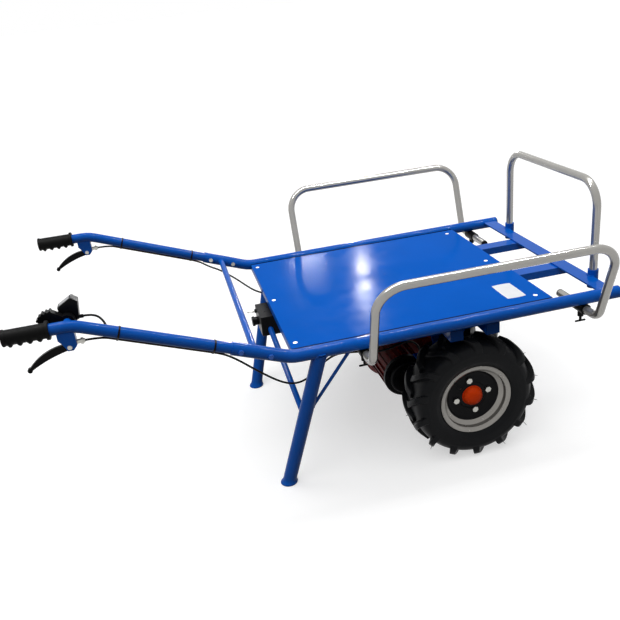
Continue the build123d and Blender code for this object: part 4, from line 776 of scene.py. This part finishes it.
class BARROW_OT_rails(bpy.types.Operator):
    """Bend the two bed rails and the two handle tubes"""

    bl_idname = "barrow.rails"
    bl_label = "Rails and handles"

    def execute(self, context):
        sizes = context.scene.barrow_sizes
        rail, handle = ((r, r - sizes.tube_wall) for r in (sizes.rail_r, sizes.handle_r))
        for side, s in SIDES:
            corners = (
                (RAIL_FRONT, s * RAIL_Y, RAIL_Z),
                (KNEE_X, s * RAIL_Y, RAIL_Z),
                slope_point(s, SOCKET_RUN),
            )
            tube = pipe(corners, (RAIL_BEND,), *rail)[:2]
            new_piece(f"bed_rail_{side}", tube, "enamel", "frame", f"rail_{side}")
            corners = (
                slope_point(s, SOCKET_RUN - SOCKET_DEPTH),
                slope_point(s, (GRIP_Z - RAIL_Z) / math.sin(SLOPE)),
                (GRIP_REAR + GRIP_END_WALL, s * RAIL_Y, GRIP_Z),
            )
            tubes = [pipe(corners, (RAIL_BEND,), *handle)]
            if side == "right":
                inward = (sizes.handle_r / 2, STUB_LENGTH)
                stub = [(STUB_X, -(RAIL_Y - reach), GRIP_Z) for reach in inward]
                tubes.append(pipe(stub, (), STUB_R, STUB_R - STUB_WALL))
            new_piece(
                f"handle_{side}", join(tubes), "enamel", "frame", f"handle_tube_{side}"
            )
        return {"FINISHED"}


class BARROW_OT_guards(bpy.types.Operator):
    """Bend the three guard tubes and plug the feet of the side ones"""

    bl_idname = "barrow.guards"
    bl_label = "Guards"

    def execute(self, context):
        sizes = context.scene.barrow_sizes
        inner = sizes.guard_r - sizes.guard_wall
        # The plug's outline as (out, radius) from the end of the tube
        plug = (
            (-0.012, 0.0), (-0.012, inner), (0.0, inner), (0.0, 0.0122), (0.004, 0.0122),
            (0.0052, 0.0114), (0.0058, 0.009), (0.0058, 0.0),
        )
        for side, s in SIDES:
            body = f"side_guard_{side}"
            rise = ((s * PEG_END_Y, PEG_Z), (s * PEG_TURN_Y, PEG_Z), (s * SIDE_GUARD_Y, SIDE_GUARD_Z))
            corners = [(SIDE_GUARD_FRONT, *place) for place in rise]
            corners += [(SIDE_GUARD_REAR, *place) for place in rise[::-1]]
            bends = (PEG_BEND, GUARD_BEND, GUARD_BEND, PEG_BEND)
            tube = pipe(corners, bends, sizes.guard_r, inner)
            new_piece(f"guard_tube_{side}", tube, "zinc", body, body)
            ends = [(x, s * PEG_END_Y, PEG_Z) for x in (SIDE_GUARD_REAR, SIDE_GUARD_FRONT)]
            plugs = join([lathe(plug, end, (0, -s, 0), 40) for end in ends])
            new_piece(f"guard_plugs_{side}", plugs, "plastic", body)
        corners = (
            (FRONT_GUARD_X, FRONT_GUARD_Y, FRONT_GUARD_FOOT),
            (FRONT_GUARD_X, FRONT_GUARD_Y, FRONT_GUARD_Z),
            (FRONT_GUARD_X, -FRONT_GUARD_Y, FRONT_GUARD_Z),
            (FRONT_GUARD_X, -FRONT_GUARD_Y, FRONT_GUARD_FOOT),
        )
        tube = pipe(corners, (GUARD_BEND, GUARD_BEND), sizes.guard_r, inner)
        new_piece("front_guard_tube", tube, "zinc", "front_guard", "front_guard")
        return {"FINISHED"}


class BARROW_OT_legs(bpy.types.Operator):
    """Stand the two leaning legs on their flared feet"""

    bl_idname = "barrow.legs"
    bl_label = "Legs"

    def execute(self, context):
        sizes = context.scene.barrow_sizes
        foot = sizes.foot_r
        top = RAIL_Z - 0.01
        # Height, radius of the foot's circle, and its share in the ring
        rows = (
            (0.0, 0.0, 1.0), (0.0, foot - 0.0015, 1.0), (0.0015, foot, 1.0), (0.0045, foot, 1.0),
            (0.0062, foot - 0.0006, 0.97), (0.010, foot - 0.002, 0.7), (0.016, foot - 0.0035, 0.3),
            (0.022, foot - 0.005, 0.06), (0.027, foot, 0.0), (0.16, foot, 0.0), (0.31, foot, 0.0),
            (top, foot, 0.0), (top, 0.0, 1.0),
        )
        height, circle, share = (np.array(part)[:, None] for part in zip(*rows))
        turn = full_turn(56)
        level = np.stack([np.cos(turn), np.sin(turn)], axis=1)
        for side, s in SIDES:
            # Rings at height z: the leaning tube's level section, r / sqrt(1 - (h . d)^2),
            # which gives way to the foot's circle below
            lean = unit(leg_point(s, 1.0) - leg_point(s, 0.0))[:2]
            section = sizes.leg_r / np.sqrt(1 - (level @ lean) ** 2)
            radius = circle * share + section * (1 - share)
            middle = np.array([leg_point(s, z) for z in height[:, 0]])
            flat = middle[:, None, :2] + radius[..., None] * level
            surface = (place_points(flat[..., 0], flat[..., 1], height), grid_faces(len(rows), len(turn)))
            new_piece(
                f"bed_leg_{side}", surface, "enamel", "frame", f"leg_{side}", sharp=50.0
            )
        return {"FINISHED"}


# Welds: rods and tubes of the frame, and the front crossbar with its collars and stringers

STRUT_R = 0.005
STRUT_LOW = 0.236
STRUT_X = AXLE_X - 0.367
BRACE_R = 0.009
BRACE_LOW = 0.245
BRACE_TOP = (AXLE_X - 0.553, 0.042, 0.415)
COLLAR_R = 0.0168
COLLAR_Z = 0.4815
COLLAR_TURN = (0.56 * np.pi, 1.44 * np.pi)
CROSSBAR_X = (AXLE_X + 0.406, AXLE_X + 0.45)
CROSSBAR_Y = 0.3828
CROSSBAR_Z = 0.4813
STRINGER_X = AXLE_X + 0.4465
STRINGER_Y = (0.114, 0.164)
STRINGER_Z = (0.4515, 0.4755)


class BARROW_OT_welds(bpy.types.Operator):
    """Run weld beads round the joints of the frame"""

    bl_idname = "barrow.welds"
    bl_label = "Welds"

    def execute(self, context):
        sizes = context.scene.barrow_sizes
        size = sizes.weld_r
        beads = []
        for _, s in SIDES:
            rail = ((AXLE_X, s * RAIL_Y, RAIL_Z), (1, 0, 0), sizes.rail_r)
            leg_low = leg_point(s, 0.0)
            leg_way = unit(leg_point(s, RAIL_Z) - leg_low)
            leg = (leg_low, leg_way, sizes.leg_r)
            strut_low, strut_high = leg_point(s, STRUT_LOW), np.array((STRUT_X, s * RAIL_Y, RAIL_Z))
            strut_middle, strut_way = (strut_low + strut_high) / 2, unit(strut_high - strut_low)
            brace_low, brace_high = leg_point(s, BRACE_LOW), np.array(BRACE_TOP) * (1, s, 1)
            brace_middle, brace_way = (brace_low + brace_high) / 2, unit(brace_high - brace_low)
            cross_end = slope_point(s, CROSS_TUBE_RUN)
            slope = (cross_end, slope_point(s, 0.2) - slope_point(s, 0.0), sizes.rail_r)
            # Branch's point, direction and radius, the tube that it meets, points, share of the size
            joints = (
                (leg_low, leg_way, sizes.leg_r, rail, 160, 1.0),
                (strut_middle, strut_way, STRUT_R, rail, 50, 0.8),
                (strut_middle, -strut_way, STRUT_R, leg, 50, 0.8),
                (brace_middle, -brace_way, BRACE_R, leg, 70, 0.9),
                (cross_end * (1, 0.5, 1), (0, s, 0), CROSS_TUBE_R, slope, 70, 1.0),
            )
            for root, way, branch_r, tube, count, share in joints:
                beads.append(bead(saddle(root, way, branch_r, *tube, count), size * share))
            turn = np.linspace(*COLLAR_TURN, 60)
            ring_x = FRONT_GUARD_X + COLLAR_R * np.cos(turn)
            ring_y = s * FRONT_GUARD_Y + COLLAR_R * np.sin(turn)
            beads.append(bead(place_points(ring_x, ring_y, COLLAR_Z), size, closed=False))
            seam = place_points(np.linspace(*CROSSBAR_X, 60), s * CROSSBAR_Y, CROSSBAR_Z)
            beads.append(bead(seam, size, closed=False))
            for y in STRINGER_Y:
                seam = place_points(STRINGER_X, s * y, np.linspace(*STRINGER_Z, 40))
                beads.append(bead(seam, size * 0.8, closed=False))
        handle = ((STUB_X, -RAIL_Y, GRIP_Z), (1, 0, 0), sizes.handle_r)
        root = (STUB_X, -(RAIL_Y - STUB_LENGTH / 2), GRIP_Z)
        beads.append(bead(saddle(root, (0, -1, 0), STUB_R, *handle, 70), size * 0.9))
        new_piece("weld_beads", join(beads), "enamel", "frame", sharp=80.0)
        return {"FINISHED"}


# Grips


def grip_radius(x, turn):
    """Radius of a grip: r(x, v) = body(x) + bump(x) below(v) + ribs(x), where below is the sine's lower
    half to the power 1.5. It has a flared end, a hand collar, four finger bumps and fine ribs."""
    body_r, flare, flare_length, edge = 0.0203, 0.0022, 0.0075, 0.0012
    collar_start, collar_middle, collar_end = 0.1068, 0.1105, 0.1142
    collar_r, collar_edge_r, collar_round = 0.025, 0.0232, 20
    bump_start, bump_end, bump_fade = 0.008, 0.103, 0.006
    bump_height, bump_pitch, first_bump, dip = 0.0066, 0.024, 0.0165, 0.35
    rib_height, rib_pitch, rib_start, rib_end = 0.00022, 0.0028, 0.009, 0.1055
    body = body_r + flare * np.sqrt(np.clip(1 - (x / flare_length) ** 2, 0, 1))
    body = np.where(x < edge, body - edge + x, body)
    collar = (x > collar_start) & (x < collar_end)
    body = np.where(collar, collar_r - collar_round * (x - collar_middle) ** 2, body)
    body = np.where(x >= collar_end, collar_edge_r, body)
    wave = np.clip(np.cos(2 * np.pi * (x - first_bump) / bump_pitch), -dip, 1) + dip
    fade = np.clip((x - bump_start) / bump_fade, 0, 1) * np.clip((bump_end - x) / bump_fade, 0, 1)
    bump = bump_height * wave / (1 + dip) * fade
    ribs = rib_height * np.cos(2 * np.pi * x / rib_pitch) * ((x > rib_start) & (x < rib_end))
    below = np.clip(-np.sin(turn), 0, 1) ** 1.5
    return body[:, None] + bump[:, None] * below + ribs[:, None]


class BARROW_OT_grips(bpy.types.Operator):
    """Mould the two rubber grips with their finger bumps"""

    bl_idname = "barrow.grips"
    bl_label = "Grips"

    def execute(self, context):
        # Radius of the bore, and the row of points at which it ends
        bore_r, bore_end = 0.016, 3
        x = np.concatenate(
            [np.linspace(0, 0.008, 9), np.linspace(0.0085, 0.1065, 120), np.linspace(0.107, GRIP_LENGTH, 9)]
        )
        turn = full_turn(72)
        radius = grip_radius(x, turn)[..., None]
        ring = place_points(0.0, np.cos(turn), np.sin(turn))
        for side, s in SIDES:
            # The outside, then back through the bore, with a point at each end
            centre = place_points(GRIP_REAR + x, s * RAIL_Y, GRIP_Z)[:, None]
            rows = (
                centre[:1] + 1e-9 * ring,
                centre + radius * ring,
                centre[[-1, bore_end]] + bore_r * ring,
                centre[[bore_end]] + 1e-9 * ring,
            )
            points = np.concatenate(rows)
            surface = (points, grid_faces(len(points), len(turn), False)[:, ::-1])
            new_piece(
                f"hand_grip_{side}", surface, "grip", "frame", f"grip_{side}", sharp=55.0
            )
        return {"FINISHED"}


# Wheels

# Half width of a tyre's section, its depths inside and outside its middle, the middle's radius, and
# the power that squares it
CARCASS = (0.069, 0.046, 0.039, 0.15, 2.9)
LUG_FOOT = (0.0684, 0.046, 0.0384, 0.15, 2.9)
LUG_TOP = (0.07, 0.046, 0.054, 0.15, 4.2)
LUG_COUNT = 14
LUG_SWEEP = 0.05
LUG_R = 0.19
SIDE_RINGS = (0.1245, 0.131, 0.158)
HAIR_OUT = 0.0585
HAIR_ROOT_R = 0.1945
HAIR_LEAN_R = 0.2
HAIR_SEEDS = {"left": 7, "right": 8}
VALVE_TURN = math.radians(-45)


def superellipse(angle, half_width, low, high, centre, power):
    """Rounded box section of a tyre: out = a |cos|^(2/n), radius = c + b |sin|^(2/n)."""
    c, s = np.cos(angle), np.sin(angle)
    out = half_width * np.sign(c) * np.abs(c) ** (2 / power)
    radius = centre + np.where(s > 0, high, low) * np.sign(s) * np.abs(s) ** (2 / power)
    return out, radius


def wheel_points(s, out, radius, turn):
    """Points on a wheel: out along +Y from its middle plane, turned back from the lowest point."""
    return place_points(AXLE_X - radius * np.sin(turn), s * TYRE_Y + out, AXLE_Z - radius * np.cos(turn))


def tyre_carcass(s, sides=180):
    """Carcass: the section's superellipse turned round the axle, with three raised rings a side."""
    height, half_width, sidewall = 0.0008, 0.0011, 0.02
    angle = np.linspace(np.radians(-58), np.radians(238), 84)
    out, radius = superellipse(angle, *CARCASS)
    for place in SIDE_RINGS:
        swell = height * np.exp(-(((radius - place) / half_width) ** 2))
        out = out + np.sign(out) * swell * (np.abs(out) > sidewall)
    points = wheel_points(s, out[:, None], radius[:, None], full_turn(sides))
    return points, grid_faces(len(angle), sides)


def row_start(half):
    """Turn of a row's first lug: one row stands half a pitch behind the other."""
    return 0 if half > 0 else np.pi / LUG_COUNT


def tread_lugs(s, half_width):
    """Lugs: each runs from the crown over the shoulder, swept back as it goes, and rises from the
    carcass to a squarer section. Across it the height is a trapezium with rounded edges."""
    # Degrees on the section, shares of the length over which the ends rise, and depth below the foot
    crown, reach = 96, 90
    crown_end, shoulder_end = 0.07, 0.12
    sunk = 0.12
    along = np.linspace(0, 1, 26)
    angle = np.radians(crown - reach * along)
    low_out, low_r = superellipse(angle, *LUG_FOOT)
    top_out, top_r = superellipse(angle, *LUG_TOP)
    swept = LUG_SWEEP * np.clip(low_out / CARCASS[0], -0.1, 1) * (1.15 - 0.15 * along)
    ends = np.clip(np.minimum(along / crown_end, (1 - along) / shoulder_end), 0, 1)
    ends = ends * ends * (3 - 2 * ends)
    across = np.array([-1, -0.9, -0.8, -0.72, -0.64, -0.35, 0, 0.35, 0.64, 0.72, 0.8, 0.9, 1])
    rise = np.array([0, 0.42, 0.78, 0.95, 1, 1, 1, 1, 1, 0.95, 0.78, 0.42, 0])
    back = (0.8, 0.4, 0.0, -0.4, -0.8)
    under = -sunk * np.sin(np.pi * along)
    height = np.concatenate([ends[:, None] * rise, np.repeat(under[:, None], len(back), axis=1)], axis=1)
    spread = np.concatenate([across, back])
    out = low_out[:, None] + height * (top_out - low_out)[:, None]
    radius = low_r[:, None] + height * (top_r - low_r)[:, None]
    turn = (swept[:, None] + spread * half_width) / LUG_R
    faces = grid_faces(len(along), len(spread), False)
    surfaces = []
    for half in (1, -1):
        starts = row_start(half) + full_turn(LUG_COUNT)
        points = wheel_points(s, half * out, radius, starts[:, None, None] + turn)
        surfaces.append((points, repeated(faces[:, ::-half], LUG_COUNT, turn.size)))
    return join(surfaces)


def vent_hairs(s, longest, seed):
    """Moulding hairs: thin cones that stand out of the lugs' outer edges, none near the floor."""
    chance = np.random.default_rng(seed)
    sides = 5
    near_floor = 0.9
    out_share, up_share = 0.6, 0.75
    root_r, tip_r = 0.0011, 0.0006
    surfaces = []
    for half in (1, -1):
        # Every second draw sets a hair behind the start of its lug
        behind = chance.uniform(0.18, 0.25, 2 * LUG_COUNT)[::2]
        turn = row_start(half) + full_turn(LUG_COUNT) + behind
        turn = turn[np.cos(turn) < near_floor]
        size = chance.uniform(0.55, 1.0, len(turn)) * longest
        lean = chance.uniform(-0.25, 0.25, len(turn)) / HAIR_LEAN_R
        root = wheel_points(s, half * HAIR_OUT, HAIR_ROOT_R, turn)
        out, up = half * (HAIR_OUT + out_share * size), HAIR_ROOT_R + up_share * size
        tip = wheel_points(s, out, up, turn + lean * size)
        circle = circles(unit(tip - root), sides, (0.2, 0.9, 0.4))
        rows = ((root, root_r), (tip, tip_r), (tip, 1e-8))
        points = np.stack([place[:, None] + thick * circle for place, thick in rows], axis=1)
        faces = grid_faces(len(rows), sides, False)
        surfaces.append((points, repeated(faces, len(turn), len(rows) * sides)))
    return join(surfaces)


def valve_point(s, out, radius):
    """Point on the valve's line, which stands between the back and the top of the wheel."""
    x, z = AXLE_X + radius * math.sin(VALVE_TURN), AXLE_Z + radius * math.cos(VALVE_TURN)
    return np.array((x, s * (WHEEL_Y + out), z))


def valve(s):
    """Valve stem and its cap: a profile turned round the line on which it leans out of the rim."""
    start = valve_point(s, 0.0095, 0.096)
    end = valve_point(s, 0.039, 0.072)
    length = np.linalg.norm(end - start)
    # Share of the length, and radius
    profile = np.array(
        (
            (0.0, 0.0), (0.0, 0.0052), (0.5, 0.0046), (0.55, 0.0032), (0.62, 0.0032), (0.64, 0.0041),
            (0.95, 0.0041), (1.0, 0.0034), (1.0, 0.0),
        )
    )
    return lathe(profile * (length, 1), start, end - start, 20)


class BARROW_OT_tyres(bpy.types.Operator):
    """Mould the two tyres with chevron lugs, vent hairs and valves"""

    bl_idname = "barrow.tyres"
    bl_label = "Tyres"

    def execute(self, context):
        sizes = context.scene.barrow_sizes
        for side, s in SIDES:
            hairs = vent_hairs(s, sizes.hair, HAIR_SEEDS[side])
            surface = join([tyre_carcass(s), tread_lugs(s, sizes.lug_half), hairs, valve(s)])
            new_piece(
                f"lugged_tyre_{side}", surface, "tread", f"wheel_{side}", f"tyre_{side}", sharp=38.0
            )
        return {"FINISHED"}


class BARROW_OT_rims(bpy.types.Operator):
    """Press the two rims, with silver barrels and black centres, and their hub caps"""

    bl_idname = "barrow.rims"
    bl_label = "Rims"

    def execute(self, context):
        # Outlines as (out, radius) from the rim's bolting face, turned round the axle
        lip_out, lip_r, curl_r = 0.0362, 0.1123, 0.0022
        curl = np.radians(np.linspace(200, -60, 12))
        lip = np.stack([lip_out + curl_r * np.cos(curl), lip_r + curl_r * np.sin(curl)], axis=1)
        well = (
            (0.0368, 0.1068), (0.0352, 0.1015), (0.0335, 0.0992), (0.031, 0.0986),
            (0.0196, 0.0986), (0.018, 0.0975), (0.0135, 0.0865), (0.0125, 0.085),
        )
        outer_side = np.concatenate([lip, well])
        inner_side = outer_side[::-1] * (-1, 1) + (2 * (TYRE_Y - WHEEL_Y), 0)
        tyre_side = (
            (-0.074, 0.1016), (-0.057, 0.1016), (-0.0513, 0.088),
            (0.0113, 0.088), (0.017, 0.1016), (0.034, 0.1016),
        )
        barrel = np.concatenate([outer_side, inner_side, tyre_side])
        disc = (
            (0.0118, 0.0866), (0.0122, 0.0845), (0.0105, 0.0825), (0.0068, 0.0795), (0.0045, 0.0755),
            (0.004, 0.071), (0.004, 0.047), (0.005, 0.0445), (0.0072, 0.0425), (0.0076, 0.0405),
            (0.0076, 0.026), (0.0072, 0.0245), (0.0, 0.0245), (0.0, 0.0765), (0.004, 0.0815),
            (0.007, 0.0866),
        )
        cap_r = context.scene.barrow_sizes.hub_cap_r
        dome_base, dome_height, dome_r = 0.0118, 0.018, cap_r - 0.0024
        skirt = (
            (0.004, 0.0), (0.004, cap_r), (0.0075, cap_r), (0.0085, cap_r - 0.0008),
            (0.0085, cap_r - 0.0022), (0.0115, dome_r),
        )
        arch = np.radians(np.linspace(4, 90, 16))
        dome = np.stack([dome_base + dome_height * np.sin(arch), dome_r * np.cos(arch) ** 0.75], axis=1)
        cap = np.concatenate([skirt, dome])
        for side, s in SIDES:
            hub, out = (AXLE_X, s * WHEEL_Y, AXLE_Z), (0, s, 0)
            body = f"wheel_{side}"
            rim = lathe(barrel[::-1], hub, out, 128)
            new_piece(f"rim_barrel_{side}", rim, "silver", body, f"rim_{side}", 34.0)
            centre = lathe(disc[::-1], hub, out, 128)
            new_piece(f"rim_disc_{side}", centre, "black", body)
            cover = lathe(cap, hub, out)
            new_piece(f"orange_cap_{side}", cover, "orange", body, f"hub_cap_{side}", 34.0)
        return {"FINISHED"}


# Label and finishes

LABEL_PLACE = (AXLE_X + 0.1735, -0.2695)
LABEL_HALF = (0.0315, 0.0565)
LABEL_THICK = 0.0004


class BARROW_OT_label(bpy.types.Operator):
    """Stick the blank white plate on the deck"""

    bl_idname = "barrow.label"
    bl_label = "Blank label"

    def execute(self, context):
        # Rings of a rectangle with rounded corners, C + share(u) outline(v), whose edge is rounded over
        squareness = 0.86
        turn = full_turn(96)
        level = np.stack([np.cos(turn), np.sin(turn)], axis=1)
        square = 1.0 / np.abs(level).max(axis=1) ** squareness
        outline = LABEL_HALF * square[:, None] * level
        # Share of the outline, and lift above the plate's top
        rows = (
            (0.0, 0.0), (0.4, 0.0), (0.8, 0.0), (0.985, 0.00002), (1.0, -0.00008), (1.0, -0.0003),
            (0.0, -0.0003),
        )
        share, lift = (np.array(part)[:, None] for part in zip(*rows))
        flat = LABEL_PLACE + share[..., None] * outline
        points = place_points(flat[..., 0], flat[..., 1], DECK_TOP + LABEL_THICK + lift)
        surface = (points, grid_faces(len(rows), len(turn), False))
        new_piece("blank_deck_label", surface, "label", "frame")
        return {"FINISHED"}


FINISHED_NODES = {
    "sheet": ("deck_plate",),
    "enamel": (
        "bed_frame", "front_crossbar", "cross_tube", "axle_carrier", "leg_braces", "lever_brackets",
    ),
    "plastic": (
        "brake_lever_left", "brake_lever_right", "throttle_housing", "throttle_lever", "switch_box",
        "charge_socket", "battery_case", "cable_ties",
    ),
    "plating": (
        "wheel_bolts_left", "wheel_bolts_right", "brake_fittings", "power_switch", "axle_bearings",
        "brake_arm_left", "brake_arm_right",
    ),
    "screen": ("display_screen",),
    "aluminium": ("controller_case",),
    "red": ("gear_case",),
    "motor": ("motor",),
    "screws": ("deck_screws",),
    "bolts": ("handle_bolts",),
    "plugs": ("rail_end_caps",),
    "black": (
        "axle_tubes", "brake_units", "wheel_hub_left", "wheel_hub_right", "guard_sockets",
        "clamp_screw_front_left", "clamp_screw_front_right", "clamp_screw_rear_left",
        "clamp_screw_rear_right",
    ),
}


class BARROW_OT_finishes(bpy.types.Operator):
    """Give the frame's own parts their finishes"""

    bl_idname = "barrow.finishes"
    bl_label = "Finishes"

    def execute(self, context):
        for name, nodes in FINISHED_NODES.items():
            for node in nodes:
                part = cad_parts[node]
                if not part.material_slots:
                    part.data.materials.append(None)
                for slot in part.material_slots:
                    slot.material = finish(name)
        return {"FINISHED"}


class BARROW_PT_panel(bpy.types.Panel):
    """Lists the pieces of the barrow"""

    bl_label = "Electric barrow"
    bl_idname = "BARROW_PT_panel"
    bl_space_type = "VIEW_3D"
    bl_region_type = "UI"
    bl_category = "Barrow"

    def draw(self, context):
        for operator in OPERATORS:
            self.layout.operator(operator.bl_idname)
        for group in (context.scene.barrow_sizes, context.scene.barrow_colours):
            for name in group.__annotations__:
                self.layout.prop(group, name)


OPERATORS = (
    BARROW_OT_stage,
    BARROW_OT_cables,
    BARROW_OT_rails,
    BARROW_OT_guards,
    BARROW_OT_legs,
    BARROW_OT_welds,
    BARROW_OT_grips,
    BARROW_OT_tyres,
    BARROW_OT_rims,
    BARROW_OT_label,
    BARROW_OT_finishes,
)
CLASSES = (BarrowSizes, BarrowColours, *OPERATORS, BARROW_PT_panel)


def register():
    """Add the classes and the scene's settings."""
    for cls in CLASSES:
        bpy.utils.register_class(cls)
    bpy.types.Scene.barrow_sizes = bpy.props.PointerProperty(type=BarrowSizes)
    bpy.types.Scene.barrow_colours = bpy.props.PointerProperty(type=BarrowColours)


def unregister():
    """Take the settings and classes away again."""
    del bpy.types.Scene.barrow_colours
    del bpy.types.Scene.barrow_sizes
    for cls in reversed(CLASSES):
        bpy.utils.unregister_class(cls)


def main():
    register()
    for operator in OPERATORS:
        getattr(bpy.ops.barrow, operator.bl_idname.split(".")[1])()


if __name__ == "__main__":
    main()
